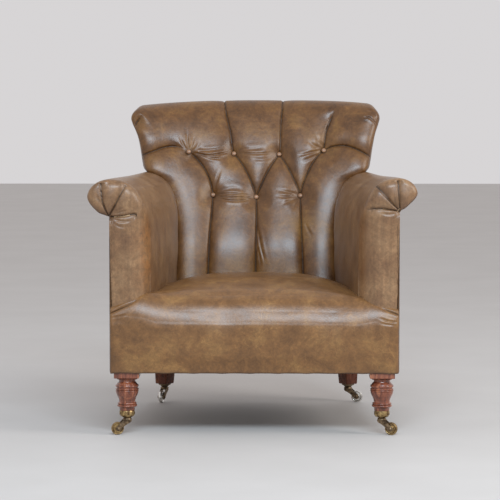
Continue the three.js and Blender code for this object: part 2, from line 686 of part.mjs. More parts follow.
// Nine waisted coil springs, tied to each other across the top with laid cord.
function springs() {
  const bottom = RAIL_BOTTOM + 2;
  const top = SEAT_UNDERSIDE - 6;
  const turns = 4;
  const wire = 2.2;
  class Coil extends THREE.Curve {
    getPoint(share) {
      const angle = share * turns * 2 * Math.PI;
      const radius = 30 + 14 * (2 * share - 1) ** 2;
      const height = lerp(bottom, top, share);
      return new THREE.Vector3(radius * Math.cos(angle), radius * Math.sin(angle), height);
    }
  }
  const section = new THREE.Shape([90, 210, 330].map((degrees) => {
    const angle = THREE.MathUtils.degToRad(degrees);
    return new THREE.Vector2(wire * Math.cos(angle), wire * Math.sin(angle));
  }));
  const coil = new THREE.ExtrudeGeometry(section, { steps: 7 * turns, extrudePath: new Coil() });
  const cord = (x0, x1, depth0, depth1) =>
    solid(board(rectangle(x0, x1, depth0, depth1), top - 2, top + 1));
  const columns = [-140, 0, 140];
  const rows = [130, 270, 410];
  const pieces = [];
  for (const depth of rows) {
    for (const x of columns) pieces.push(solid(coil.clone().translate(x, depth - OVERALL_DEPTH / 2, 0)));
    pieces.push(cord(-196, 196, depth - 1.5, depth + 1.5));
  }
  for (const x of columns) pieces.push(cord(x + 42, x + 45, 70, 455));
  return geometryOf(pieces.slice(1).reduce((joined, piece) => joined.add(piece), pieces[0]));
}

// ---- Castors ----

function lathe(outline, sides) {
  const points = outline.map(([radius, z]) => new THREE.Vector2(radius, z));
  return new THREE.LatheGeometry(points, sides).rotateX(Math.PI / 2);
}

function fork() {
  const hole = AXLE_RADIUS + 0.3;
  const cheekThickness = 2.6;
  const cheekGap = WHEEL_WIDTH / 2 + 0.7;
  const outline = new THREE.Shape();
  outline.moveTo(-10, 35.5);
  outline.lineTo(-9, 31);
  outline.quadraticCurveTo(2, 27, TRAIL - 7, WHEEL_RADIUS - 2);
  outline.absarc(TRAIL, WHEEL_RADIUS, 6.5, Math.PI * 1.1, Math.PI * 2.3, false);
  outline.quadraticCurveTo(14, 32, 9, 37.5);
  outline.lineTo(-8, 37.5);
  const settings = { depth: cheekThickness, bevelEnabled: false, curveSegments: 4 };
  const cheek = new THREE.ExtrudeGeometry(outline, settings);
  cheek.rotateX(Math.PI / 2);
  const near = solid(cheek.clone().translate(0, -cheekGap, 0));
  const far = solid(cheek.clone().translate(0, cheekGap + cheekThickness, 0));
  const head = solid(lathe([[0, 34], [9.5, 34], [11, 36], [11, 40], [8, FORK_TOP], [0, FORK_TOP]], 12));
  const pintle = solid(lathe([[0, 40], [PINTLE_RADIUS, 40], [PINTLE_RADIUS, 48], [0, 48]], 12));
  const axleHole = solid(
    new THREE.CylinderGeometry(hole, hole, 40, 12).translate(TRAIL, 0, WHEEL_RADIUS),
  );
  return geometryOf(head.add(pintle).add(near).add(far).subtract(axleHole));
}

function wheel() {
  const bore = AXLE_RADIUS + 0.3;
  const rim = WHEEL_RADIUS / Math.cos(Math.PI / WHEEL_SIDES);
  const half = WHEEL_WIDTH / 2;
  const outline = [
    [bore, -half], [6, -half], [7, -half + 1.6], [rim - 1.4, -half + 1.2], [rim, -half + 2.4],
    [rim, half - 2.4], [rim - 1.4, half - 1.2], [7, half - 1.6], [6, half], [bore, half], [bore, -half],
  ];
  return new THREE.LatheGeometry(outline.map(([radius, y]) => new THREE.Vector2(radius, y)), WHEEL_SIDES)
    .rotateY(Math.PI / WHEEL_SIDES)
    .translate(TRAIL, 0, WHEEL_RADIUS);
}

const pintleHole = PINTLE_RADIUS + 0.3;
const CUP = [
  [pintleHole, FORK_TOP + GAP], [14, FORK_TOP + GAP], [18.5, 47], [19.6, 52], [18.6, CUP_TOP],
  [14.5 + GAP, CUP_TOP], [14 + GAP, 52.4], [pintleHole, 52.4], [pintleHole, FORK_TOP + GAP],
];
const PLATE = [
  [pintleHole, FORK_TOP + GAP], [11, FORK_TOP + GAP], [12, 46.6], [17, 47], [17, REAR_LEG_BOTTOM - GAP],
  [pintleHole, REAR_LEG_BOTTOM - GAP], [pintleHole, FORK_TOP + GAP],
];

// Each castor as it stands: its corner, and which way its wheel trails, in degrees from +X.
const CASTORS = [
  { corner: "front_left", side: -1, heading: 200 },
  { corner: "front_right", side: 1, heading: -22 },
  { corner: "rear_left", side: -1, heading: 253 },
  { corner: "rear_right", side: 1, heading: -14 },
];

function castors() {
  const axle = new THREE.CylinderGeometry(AXLE_RADIUS, AXLE_RADIUS, 19, 12);
  axle.translate(TRAIL, 0, WHEEL_RADIUS);
  for (const { corner, side, heading } of CASTORS) {
    const front = corner.startsWith("front");
    const [x, depth] = front ? [LEG_X, LEG_DEPTH] : REAR_FOOT;
    const group = new THREE.Group();
    group.position.copy(at(side * x, depth, 0));
    chair.add(group);
    const holder = front ? "castor_cup" : "castor_plate";
    add(`${corner}_${holder}`, lathe(front ? CUP : PLATE, 16), BRASS, group);
    const swivel = new THREE.Group();
    swivel.rotation.z = THREE.MathUtils.degToRad(heading);
    group.add(swivel);
    add(`${corner}_castor_fork`, fork(), BRASS, swivel);
    add(`${corner}_castor_axle`, axle, STEEL, swivel);
    add(`${corner}_castor_wheel`, wheel(), BRASS, swivel);
  }
}

seatFrame();
frontLegs();
rearLegs();
armParts();
backParts();
buttons();
seatParts();
castors();

export default chair;
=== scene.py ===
"""A deep-buttoned, scroll-armed leather armchair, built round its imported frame.

Metres, +Z up. The chair faces -Y and "left" is -X. "Depth" is measured back from the seat's front face.
"""

from math import cos, pi, radians, sin, tan

import bmesh
import bpy
import numpy as np
from mathutils import Matrix, Vector


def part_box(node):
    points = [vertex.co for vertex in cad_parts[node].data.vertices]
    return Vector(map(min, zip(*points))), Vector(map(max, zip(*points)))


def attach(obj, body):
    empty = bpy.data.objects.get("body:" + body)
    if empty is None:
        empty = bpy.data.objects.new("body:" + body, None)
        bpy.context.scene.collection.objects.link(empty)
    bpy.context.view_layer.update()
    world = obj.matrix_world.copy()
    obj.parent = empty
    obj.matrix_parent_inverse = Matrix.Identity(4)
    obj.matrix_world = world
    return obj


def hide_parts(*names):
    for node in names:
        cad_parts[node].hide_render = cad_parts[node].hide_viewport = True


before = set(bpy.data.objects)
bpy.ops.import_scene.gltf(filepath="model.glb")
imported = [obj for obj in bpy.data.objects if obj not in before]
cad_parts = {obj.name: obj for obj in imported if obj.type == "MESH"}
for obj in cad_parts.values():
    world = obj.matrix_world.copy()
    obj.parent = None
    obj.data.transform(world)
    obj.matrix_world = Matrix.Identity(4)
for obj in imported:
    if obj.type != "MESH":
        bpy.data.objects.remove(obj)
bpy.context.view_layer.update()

# ---- Sizes shared with the frame ----

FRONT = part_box("seat_cover")[0].y
BODY_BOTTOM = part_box("seat_cover")[0].z
BODY_HALF_WIDTH = .357  # at the front, over the outside arms
BODY_TAPER = .1
BOW = .5  # the back curves forward by this much of x squared, per metre

ARM_FACE = .015  # depth of the arms' front faces
ARM_INNER = .262
ARM_INNER_BACK = .21
ARM_BOTTOM = .303
ARM_SPRING = .49  # height at which the inside of the arm starts to roll outwards
ARM_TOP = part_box("arm_cover_left")[1].z
ARM_NECK = .541
SCROLL = (.36, .586)  # x and z of the scroll's middle
SCROLL_SIZE = (.052, ARM_TOP - .586)
SCROLL_END = -.9
SCROLL_BACK = .6  # the scroll's overhang at the back, as a share of the front's
ARM_BACK = .49  # depth at which the arm stops closing in

BACK_RAKE = radians(21)
BACK_BOTTOM = .3
ROLL = .058
ROLL_AXIS = (.742, .762)  # depth and z
BACK_NECK = .69
OUTSIDE_BACK = (.682, .762)  # depth of its face at the bottom and at the neck
OUTSIDE_BACK_ROOM = .051  # what the back's frame and its outside panel take up in depth
RIGHT_INSET = .0055  # the back's top corner reaches out less on the right

SEAT_LIP = .058
SEAT_EDGE = .334
SEAT_CROWN = .382
SEAT_CROWN_DEPTH = .27
SEAT_BACK = .5

LEG = (.3165, .0355)  # x and depth
REAR_LEG = (.247, .612)
REAR_FOOT = (.251, .648)
REAR_LEG_TURN = radians(36)
REAR_KNEE = .157  # where the raked foot meets the upright
RAIL_TOP = .232

TOP_BUTTONS = {
    "outer_left": (-.183, .684),
    "inner_left": (-.061, .678),
    "inner_right": (.062, .676),
    "outer_right": (.183, .687),
}
LOWER_BUTTONS = {"left": (-.117, .568), "middle": (0.0, .562), "right": (.119, .566)}
BUTTON_RADIUS = .0063


# ---- Small helpers ----


def lerp(a, b, share):
    return a + (b - a) * share


def smooth(x, low, high):
    t = np.clip((x - low) / (high - low), 0, 1)
    return t * t * (3 - 2 * t)


def place(x, depth, z):
    return np.stack(np.broadcast_arrays(x, FRONT + depth, z), axis=-1).astype(float)


def body_side(depth):
    return BODY_HALF_WIDTH - BODY_TAPER * depth


def bow(x):
    return BOW * x**2


def bell(x, width, middle=0.0):
    """1 at the middle, falling away smoothly over a width on both sides."""
    return np.exp(-(((x - middle) / width) ** 2))


def between(at, places, values):
    """Each column of a table of values, read at points between its places."""
    return [np.interp(at, places, column) for column in np.asarray(values).T]


def lengths_along(points):
    return np.concatenate([[0], np.cumsum(np.hypot(*np.diff(points, axis=0).T))])


def catmull(points, per_span=8):
    """A smooth line through points, as an array."""
    p = np.array(points, float)
    p = np.vstack([2 * p[0] - p[1], p, 2 * p[-1] - p[-2]])
    t = np.linspace(0, 1, per_span, endpoint=False)[:, None]
    spans = [
        b + .5 * t * (c - a + t * (2 * a - 5 * b + 4 * c - d + t * (3 * (b - c) + d - a)))
        for a, b, c, d in zip(p, p[1:], p[2:], p[3:])
    ]
    return np.vstack([*spans, p[-2:-1]])


def distance_to(line, x, y):
    """From every point (x, y) to a smooth line: the distance, the side (1 or -1) and the share along it."""
    p = catmull(line)
    best, side, along = np.full(x.shape, 9.0), np.zeros(x.shape), np.zeros(x.shape)
    for i, (a, step) in enumerate(zip(p[:-1], np.diff(p, axis=0))):
        from_x, from_y = x - a[0], y - a[1]
        t = np.clip((from_x * step[0] + from_y * step[1]) / (step @ step), 0, 1)
        distance = np.hypot(from_x - t * step[0], from_y - t * step[1])
        near = distance < best
        best = np.where(near, distance, best)
        side = np.where(near, np.sign(step[0] * from_y - step[1] * from_x), side)
        along = np.where(near, (i + t) / (len(p) - 1), along)
    return best, side, along


def linked(name, data):
    """A new object in the scene."""
    made = bpy.data.objects.new(name, data)
    bpy.context.scene.collection.objects.link(made)
    return made


def shape_of(points, faces):
    """A bmesh with its faces turned outwards."""
    mesh = bpy.data.meshes.new("shape")
    mesh.from_pydata(points, [], faces)
    shape = bmesh.new()
    shape.from_mesh(mesh)
    bpy.data.meshes.remove(mesh)
    bmesh.ops.recalc_face_normals(shape, faces=shape.faces)
    return shape


def piece_of(name, shape, sharp=None):
    """An object with a bmesh's faces, smooth but for edges sharper than an angle."""
    mesh = bpy.data.meshes.new(name)
    shape.to_mesh(mesh)
    shape.free()
    mesh.shade_smooth()
    if sharp:
        mesh.set_sharp_from_angle(angle=radians(sharp))
    return linked(name, mesh)


def mark(piece, name, values):
    """Gives each point of a piece a value, for its material."""
    layer = piece.data.attributes.new(name, "FLOAT", "POINT")
    layer.data.foreach_set("value", values.astype(np.float32))


class Body:
    """Grids of points and the faces between them, which become one closed mesh."""

    def __init__(self):
        self.points, self.faces, self.crease = [], [], []
        self.count = 0

    def quads(self, index, closed=False):
        """Faces between the rows of a grid, whose ends meet where it is closed."""
        if closed:
            index = np.hstack([index, index[:, :1]])
        corners = [index[:-1, :-1], index[1:, :-1], index[1:, 1:], index[:-1, 1:]]
        self.faces += np.stack(corners, -1).reshape(-1, 4).tolist()

    def grid(self, points, crease=None, closed=False):
        rows, columns = points.shape[:2]
        index = np.arange(rows * columns).reshape(rows, columns) + self.count
        self.points.append(points.reshape(-1, 3))
        self.crease.append(np.zeros(rows * columns) if crease is None else crease.reshape(-1))
        self.count += rows * columns
        self.quads(index, closed)
        return index

    def zip(self, a, b):
        """Fills between two rows of points of any lengths."""
        i, j, most_i, most_j = 0, 0, len(a) - 1, len(b) - 1
        while i < most_i or j < most_j:
            if j == most_j or (i < most_i and (i + 1) / most_i <= (j + 1) / most_j):
                self.faces.append([a[i], a[i + 1], b[j]])
                i += 1
            else:
                self.faces.append([a[i], b[j + 1], b[j]])
                j += 1

    def close_over(self, outer, inner):
        """Joins the four edges of an outer grid to those of an inner one."""
        for a, b in ((outer, inner), (outer.T, inner.T)):
            self.zip(a[0], b[0])
            self.zip(a[-1], b[-1])

    def make(self, name, sharp=None):
        piece = piece_of(name, shape_of(np.vstack(self.points).tolist(), self.faces), sharp)
        mark(piece, "crease", np.clip(np.concatenate(self.crease), 0, 1))
        return piece


def paint(piece, material):
    piece.data.materials.clear()
    piece.data.materials.append(material)


def finish_piece(piece, material, slot, *nodes, body="root"):
    paint(piece, material)
    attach(piece, body)
    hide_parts(*nodes)


def padded_sheet(name, face, crease, lining, material, fill, *nodes):
    """A closed sheet of padded leather, from the grid of its face and that of its lining."""
    body = Body()
    body.close_over(body.grid(face, crease), body.grid(lining))
    finish_padded(body, name, material, fill, *nodes)


def finish_padded(body, name, material, fill, *nodes):
    piece = body.make(name)
    finish_piece(piece, material, "leather", *nodes)
    return piece


def lathe(name, profile, segments=72, sharp=32, hollow=False):
    """A turned shape from (radius, z) points: closed over its ends, or end to start where it is hollow."""
    body = Body()
    angles = np.linspace(0, 2 * pi, segments, endpoint=False)
    rings = [[(r * cos(a), r * sin(a), z) for a in angles] for r, z in profile]
    index = body.grid(np.array(rings), closed=True)
    if hollow:
        body.quads(index[[-1, 0]], closed=True)
    else:
        body.faces += index[[0, -1]].tolist()
    return body.make(name, sharp)


# ---- Materials ----


class Shader:
    """Short names for building a node material."""

    def __init__(self, name):
        self.material = bpy.data.materials.new(name)
        self.material.use_nodes = True
        self.tree = self.material.node_tree
        self.surface = self.tree.nodes["Principled BSDF"]
        self.place = self.node("ShaderNodeTexCoord").outputs["Object"]

    def node(self, kind, settings=(), **inputs):
        made = self.tree.nodes.new(kind)
        for key, value in dict(settings).items():
            setattr(made, key, value)
        for key, value in inputs.items():
            self.put(made.inputs[key], value)
        return made

    def put(self, socket, value):
        if isinstance(value, bpy.types.NodeSocket):
            self.tree.links.new(value, socket)
        else:
            socket.default_value = value

    def noise(self, scale, detail=4.0, roughness=.55, distortion=0.0, stretch=None):
        at = self.place
        if stretch:
            at = self.node("ShaderNodeMapping", Vector=at, Scale=stretch).outputs["Vector"]
        inputs = dict(Vector=at, Scale=scale, Detail=detail, Roughness=roughness, Distortion=distortion)
        return self.node("ShaderNodeTexNoise", **inputs).outputs["Fac"]

    def cells(self, scale):
        edges = {"feature": "DISTANCE_TO_EDGE"}
        return self.node("ShaderNodeTexVoronoi", edges, Vector=self.place, Scale=scale).outputs["Distance"]

    def ramp(self, value, stops):
        made = self.node("ShaderNodeValToRGB", Fac=value)
        elements = made.color_ramp.elements
        while len(elements) < len(stops):
            elements.new(.5)
        for element, (at, colour) in zip(elements, stops):
            element.position = at
            element.color = (*colour, 1) if isinstance(colour, tuple) else (colour, colour, colour, 1)
        return made.outputs["Color"]

    def mix(self, share, a, b, blend="MIX"):
        made = self.node("ShaderNodeMix", {"data_type": "RGBA", "blend_type": blend})
        self.put(made.inputs[0], share)
        for socket, value in ((made.inputs[6], a), (made.inputs[7], b)):
            self.put(socket, (*value, 1) if isinstance(value, tuple) else value)
        return made.outputs[2]

    def maths(self, operation, a, b):
        made = self.node("ShaderNodeMath", {"operation": operation})
        self.put(made.inputs[0], a)
        self.put(made.inputs[1], b)
        return made.outputs[0]

    def attribute(self, name):
        return self.node("ShaderNodeAttribute", {"attribute_name": name}).outputs["Fac"]

    def bump(self, height, strength, distance, under=None):
        made = self.node("ShaderNodeBump", Height=height, Strength=strength, Distance=distance)
        if under is not None:
            self.put(made.inputs["Normal"], under)
        return made.outputs["Normal"]

    def set(self, **inputs):
        for key, value in inputs.items():
            self.put(self.surface.inputs[key.replace("_", " ")], value)
        return self.material


def leather(name, dark, middle, light, dull, streaks=0.0, scratches=0.0, wear=None):
    """Waxed hide with a worn, mottled finish, darkened by painted shade where its crease mark is high."""
    s = Shader(name)
    clouds = s.noise(13, detail=9, roughness=.74, distortion=.5)
    colour = s.ramp(clouds, [(.3, dark), (.5, middle), (.72, light)])
    mottle = s.noise(70, detail=6, roughness=.72, distortion=.8)
    colour = s.mix(.75, colour, s.ramp(mottle, [(.3, .34), (.52, .5), (.72, .68)]), "OVERLAY")
    fine = s.noise(230, detail=4, roughness=.75)
    colour = s.mix(.45, colour, s.ramp(fine, [(.35, .36), (.65, .64)]), "OVERLAY")
    if streaks:
        lines = s.noise(1, detail=5, roughness=.62, stretch=(150, 55, 9))
        colour = s.mix(streaks, colour, s.ramp(lines, [(.35, .34), (.65, .64)]), "OVERLAY")
    if scratches:
        threads = s.ramp(s.noise(9, detail=2, distortion=2.4), [(.488, 0.0), (.5, 1.0), (.512, 0.0)])
        sparse = s.ramp(s.noise(13, detail=2), [(.48, 0.0), (.62, 1.0)])
        share = s.maths("MULTIPLY", s.maths("MULTIPLY", threads, sparse), scratches)
        colour = s.mix(share, colour, tuple(min(1.0, 1.5 * c) for c in light))
    crease = s.attribute("crease")
    if wear:
        patch = s.maths("MULTIPLY", s.attribute("wear"), s.ramp(mottle, [(.36, 0.0), (.64, .75)]))
        colour = s.mix(patch, colour, wear)
    # Painted shade: the crease mark darkens the colour in pleats, wrinkles, button pits and tucked edges.
    colour = s.mix(s.maths("MULTIPLY", crease, .9), colour, (.016, .007, .0035))
    polish = s.ramp(clouds, [(.3, dull - .05), (.7, dull + .09)])
    rough = s.maths("ADD", polish, s.maths("MULTIPLY", crease, .4))
    rough = s.maths("ADD", rough, s.maths("MULTIPLY", fine, .06))
    grain = s.bump(s.cells(620), .16, .0004)
    grain = s.bump(mottle, .14, .0016, under=grain)
    grain = s.bump(clouds, .16, .006, under=grain)
    coat = dict(IOR=1.5, Coat_Weight=.12, Coat_Roughness=.3)
    return s.set(Base_Color=colour, Roughness=rough, Normal=grain, **coat)


def mahogany(name, lighter=1.0, polish=.45):
    s = Shader(name)
    grain = s.noise(1, detail=6, roughness=.65, distortion=.8, stretch=(90, 90, 9))
    dark, red, warm = (.036, .009, .004), (.2, .056, .027), (.47, .18, .08)
    stops = [(.3, dark), (.52, red), (.74, warm)]
    colour = s.ramp(grain, [(at, tuple(min(1.0, lighter * c) for c in shade)) for at, shade in stops])
    pores = s.noise(1, detail=3, roughness=.7, stretch=(700, 700, 30))
    colour = s.mix(.35, colour, s.ramp(pores, [(.38, .3), (.55, .52)]), "MULTIPLY")
    worn = s.ramp(s.noise(30, detail=4), [(.35, .2), (.7, .38)])
    coat = dict(Specular_IOR_Level=.2 + .67 * polish, Coat_Weight=polish, Coat_Roughness=.16)
    return s.set(Base_Color=colour, Roughness=worn, Normal=s.bump(pores, .08, .0004), **coat)


def metal(name, bright, tarnish, rough, tarnished=.5):
    s = Shader(name)
    patches = s.noise(110, detail=6, roughness=.7)
    dull, clean = tarnished - .12, tarnished + .16
    colour = s.mix(s.ramp(patches, [(dull, 1.0), (clean, 0.0)]), bright, tarnish)
    rough = s.ramp(patches, [(dull, rough + .3), (clean, rough)])
    return s.set(Base_Color=colour, Metallic=1.0, Roughness=rough, Normal=s.bump(patches, .12, .0004))


def beech():
    s = Shader("beech")
    grain = s.noise(1, detail=5, roughness=.6, stretch=(12, 12, 130))
    colour = s.ramp(grain, [(.3, (.33, .2, .1)), (.7, (.5, .34, .19))])
    flecks = s.noise(1, detail=2, stretch=(300, 60, 900))
    colour = s.mix(.3, colour, s.ramp(flecks, [(.4, .4), (.6, .6)]), "OVERLAY")
    return s.set(Base_Color=colour, Roughness=.62, Normal=s.bump(grain, .1, .0006))


def woven(name, dark, light, pitch):
    """Webbing or cloth: fine strands, woven at a pitch."""
    s = Shader(name)
    look = dict(Vector=s.place, Scale=.3 / pitch, Distortion=.6)
    waves = [s.node("ShaderNodeTexWave", {"bands_direction": way}, **look) for way in "XY"]
    weave = s.maths("ADD", *(wave.outputs["Fac"] for wave in waves))
    strands = s.maths("MULTIPLY", s.noise(260, detail=5, roughness=.75, distortion=1.5), weave)
    colour = s.ramp(strands, [(.25, dark), (.75, light)])
    return s.set(Base_Color=colour, Roughness=.92, Normal=s.bump(strands, .5, .001))


# Each leather: its darkest, middle and lightest colours and how dull its polish is.
BACK_LEATHER = leather(
    "leather_back", (.064, .025, .007), (.132, .055, .014), (.222, .108, .026), .29, scratches=.16
)
SEAT_LEATHER = leather(
    "leather_seat", (.108, .048, .015), (.18, .082, .025), (.275, .144, .045), .295, scratches=.35
)
ARM_COLOURS = (.128, .06, .028), (.208, .11, .05), (.31, .182, .09)
ARM_WEAR = {"left": (.29, .125, .042), "right": (.14, .06, .024)}
ARM_LEATHER = {
    side: leather(f"leather_arm_{side}", *ARM_COLOURS, .3, streaks=.4, scratches=.1, wear=wear)
    for side, wear in ARM_WEAR.items()
}
OUTSIDE_LEATHER = leather(
    "leather_outside", (.11, .05, .022), (.165, .08, .036), (.235, .125, .057), .38, scratches=.15
)
BUTTON_LEATHER = leather("leather_button", (.2, .1, .05), (.27, .14, .072), (.34, .185, .1), .3)
MAHOGANY = mahogany("mahogany", 1.3)
# Painted shade: the rear legs take a darker copy of the mahogany for the shade behind and under the seat;
# its weaker polish changes only the gloss.
SHADED_REAR_MAHOGANY = mahogany("mahogany_rear_shaded", .74, polish=.06)
BRASS = metal("brass", (.62, .44, .2), (.1, .055, .028), .24)
DULL_BRASS = metal("brass_dull", (.36, .26, .16), (.07, .045, .028), .36)
STEEL = metal("steel", (.8, .78, .74), (.26, .22, .18), .2, .36)
BEECH = beech()
JUTE = woven("jute", (.22, .16, .085), (.42, .32, .19), .003)
BLACK_CLOTH = woven("black_cloth", (.008, .008, .008), (.03, .029, .028), .0015)


# ---- Creases in leather ----

PIT_REACH, PIT_DEPTH = .05, .012  # round a button
LONG_FADE = .45


def pillow(distance, reach):
    """1 in a valley, falling to 0 over its reach, as a tight pad falls away to a pleat."""
    q = np.clip(1 - distance / reach, 0, 1)
    return 1 - (1 - q**2) ** .6


def ends(along, start, end):
    """How strong a line is along its length, fading over a share of it at its start and end."""
    rise = smooth(along, -1e-6, start) if start else 1.0
    return rise * (1 - smooth(along, 1 - end, 1 + 1e-6) if end else 1.0)


def faint(lines, width):
    """Wrinkles given as points and depth, with the long fade and the width that they share."""
    return [(*line, LONG_FADE, width) for line in lines]


def pleated(x, y, pleats, wrinkles, pits=(), reach=.058, hollow=.016):
    """How far a padded surface is drawn in by its pleats, wrinkles and button pits, and how creased it is:
    the mark that the leather turns into painted shade and a duller polish.

    A pleat's valley is as deep as hollow and reaches as far as reach on each side of it.
    """
    valley, push, crease = np.zeros((3, *x.shape))
    for line, lap, start, end in pleats:
        distance, side, along = distance_to(line, x, y)
        strength = ends(along, start, end)
        valley = 1 - (1 - valley) * (1 - strength * pillow(distance, reach))
        lapped = lap * side * .0014 * np.exp(-distance / .008)
        push += strength * (.0026 * bell(distance, .0024) - lapped)
        # Painted shade: a dark line down each pleat's valley and a softer shade spreading from it.
        crease = np.maximum(crease, strength * bell(distance, .0016))
        crease = np.maximum(crease, .2 * strength * np.exp(-distance / .008))
    for line, size, end, width in wrinkles:
        distance, side, along = distance_to(line, x, y)
        strength = size * ends(along, min(end, .25), end)
        groove = bell(distance, .0021 * width) - .42 * bell(distance / width, .003, .005)
        push += .0017 * strength * groove
        # Painted shade: a faint dark line along each wrinkle.
        crease = np.maximum(crease, .16 * strength * bell(distance, .0022))
    push += hollow * valley
    for pit_x, pit_y in pits:
        distance = np.hypot(x - pit_x, y - pit_y)
        push += PIT_DEPTH * pillow(distance, PIT_REACH)
        # Painted shade: a dark ring at each button pit and a soft shade round it.
        crease = np.maximum(crease, .85 * np.exp(-((distance / .0088) ** 6)))
        crease = np.maximum(crease, .22 * np.exp(-distance / .016))
    return push, crease


# ---- Padding ----

CLOTH = {
    "vertex_group_mass": "held",
    "quality": 6,
    "mass": .4,
    "tension_stiffness": 25,
    "compression_stiffness": 25,
    "shear_stiffness": 12,
    "bending_stiffness": 1.5,
    "use_pressure": True,
    "uniform_pressure_force": 4.0,
}
BACK_SWELL = .005  # the furthest that the filling pushes the leather out
SEAT_SWELL = .0035


def swollen(points, held, outward, most):
    """How a padded sheet's points move as its filling pushes it out between the seams that hold it.

    points is a coarse grid of the sheet, held is how firmly each point is held (0 to 1), and outward is
    the way it faces. It is found by cloth simulation, and capped.
    """
    body = Body()
    body.grid(points)
    sheet = body.make("padding")
    facing = np.array([f.normal for f in sheet.data.polygons]).mean(axis=0)
    if facing @ np.array(outward) < 0:
        sheet.data.flip_normals()
    group = sheet.vertex_groups.new(name="held")
    for index, weight in enumerate(np.clip(held, 0, 1).reshape(-1)):
        group.add([index], float(weight), "REPLACE")
    cloth = sheet.modifiers.new("cloth", "CLOTH")
    for setting, value in CLOTH.items():
        setattr(cloth.settings, setting, value)
    cloth.settings.effector_weights.gravity = 0
    cloth.collision_settings.use_collision = False
    cloth.point_cache.frame_end = 20
    for step in range(1, 21):
        bpy.context.scene.frame_set(step)
    result = sheet.evaluated_get(bpy.context.evaluated_depsgraph_get())
    moved = np.empty(points.size, np.float32)
    result.data.vertices.foreach_get("co", moved)
    bpy.context.scene.frame_set(1)
    bpy.data.objects.remove(sheet)
    shift = moved.reshape(points.shape) - points
    for _ in range(3):
        shift[1:-1] = .5 * shift[1:-1] + .25 * (shift[:-2] + shift[2:])
        shift[:, 1:-1] = .5 * shift[:, 1:-1] + .25 * (shift[:, :-2] + shift[:, 2:])
    length = np.linalg.norm(shift, axis=-1, keepdims=True)
    return shift * np.minimum(1, most / np.maximum(length, 1e-9))


def between_rows(values, rows, columns, fine_rows, fine_columns):
    """Values on a coarse grid, read at a finer one's rows and columns."""
    down = np.apply_along_axis(lambda line: np.interp(fine_rows, rows, line), 0, values)
    return np.apply_along_axis(lambda line: np.interp(fine_columns, columns, line), 1, down)


def padded_out(surface, rows, columns, coarse_rows, coarse_columns, outward, most):
    """A padded surface's points and creases, with the swelling of its filling."""
    points, crease = surface(columns, rows)
    base, seams = surface(coarse_columns, coarse_rows)
    held = np.clip(seams * 4.5, 0, 1)
    held[[0, 1, -2, -1]] = 1
    held[:, [0, 1, -2, -1]] = 1
    shift = swollen(base, held, outward, most)
    inside = (rows >= coarse_rows[0]) & (rows <= coarse_rows[-1])
    fine = between_rows(shift, coarse_rows, coarse_columns, rows, columns)
    return points + fine * inside[:, None, None], crease


# ---- Inside back ----


class BackProfile:
    """The back's side view by length from its foot: a raked line, then the roll over the top."""

    def __init__(self):
        outwards = np.array([-cos(BACK_RAKE), sin(BACK_RAKE)])
        roll_start = np.array(ROLL_AXIS) + ROLL * outwards
        foot = np.array([roll_start[0] - tan(BACK_RAKE) * (roll_start[1] - BACK_BOTTOM), BACK_BOTTOM])
        belly = lerp(foot, roll_start, .4) - np.array([.016, 0])
        t = np.linspace(0, 1, 120)[:, None]
        raked = (1 - t) ** 2 * foot + 2 * t * (1 - t) * belly + t**2 * roll_start
        angles = np.linspace(pi - BACK_RAKE, -.36 * pi, 160)[1:]
        arc = np.array(ROLL_AXIS) + ROLL * np.stack([np.cos(angles), np.sin(angles)], -1)
        points = np.vstack([raked, arc])
        lengths = lengths_along(points)
        self.roll_at = lengths[119]
        self.end = lengths[-1]
        self.lengths = np.linspace(0, self.end, 700)
        even = np.stack(between(self.lengths, lengths, points), -1)
        lean_from = np.interp(.722, points[:120, 1], lengths[:120])
        even[:, 0] += .011 * smooth(self.lengths, lean_from, lean_from + .085)
        self.points = self.softened(even, 40)
        tangent = np.gradient(self.points, axis=0)
        tangent /= np.linalg.norm(tangent, axis=1)[:, None]
        self.outward = np.stack([-tangent[:, 1], tangent[:, 0]], -1)

    @staticmethod
    def softened(points, width):
        """The line with its changes of curvature spread over a width, its ends kept."""
        before = 2 * points[0] - points[width:0:-1]
        after = 2 * points[-1] - points[-2 : -width - 2 : -1]
        box = np.ones(width + 1) / (width + 1)
        columns = np.vstack([before, points, after]).T
        columns = [np.convolve(np.convolve(column, box, "same"), box, "same") for column in columns]
        return np.stack(columns, -1)[width:-width]

    def at(self, s):
        """Depth and height at a length, and the way that the leather faces there."""
        return [*between(s, self.lengths, self.points), *between(s, self.lengths, self.outward)]

    def up(self, z):
        """The length from the foot at which the raked line reaches a height."""
        raked = self.lengths <= self.roll_at
        return np.interp(z, self.points[raked, 1], self.lengths[raked])


PROFILE = BackProfile()
ROLL_AT = PROFILE.roll_at

# The back's outline, as half widths going up: close between the arms, wide over them, round at the top.
BACK_OUTLINE = [
    (.29, .219), (.34, .221), (.4, .222), (.45, .223), (.5, .225), (.54, .231), (.575, .241),
    (.6, .256), (.616, .273), (.628, .2915), (.64, .301), (.66, .3055), (.69, .3115),
    (.72, .3195), (.75, .3305), (.77, .337), (.785, .3405), (.797, .3405), (.808, .338),
    (.815, .335), (.8195, .332), (.821, .33),
]


def back_half(z):
    heights, halves = catmull(BACK_OUTLINE).T
    return np.interp(z, heights, halves)


def outside_back(z):
    return lerp(*OUTSIDE_BACK, (z - BODY_BOTTOM) / (BACK_NECK - BODY_BOTTOM))


def back_lines(lines):
    """Lines given by x and height, by x and length along the profile instead, on over the roll."""

    def up(z):
        return PROFILE.up(z) if z < .78 else ROLL_AT + (z - .78)

    return [([(x, up(z)) for x, z in line], *rest) for line, *rest in lines]


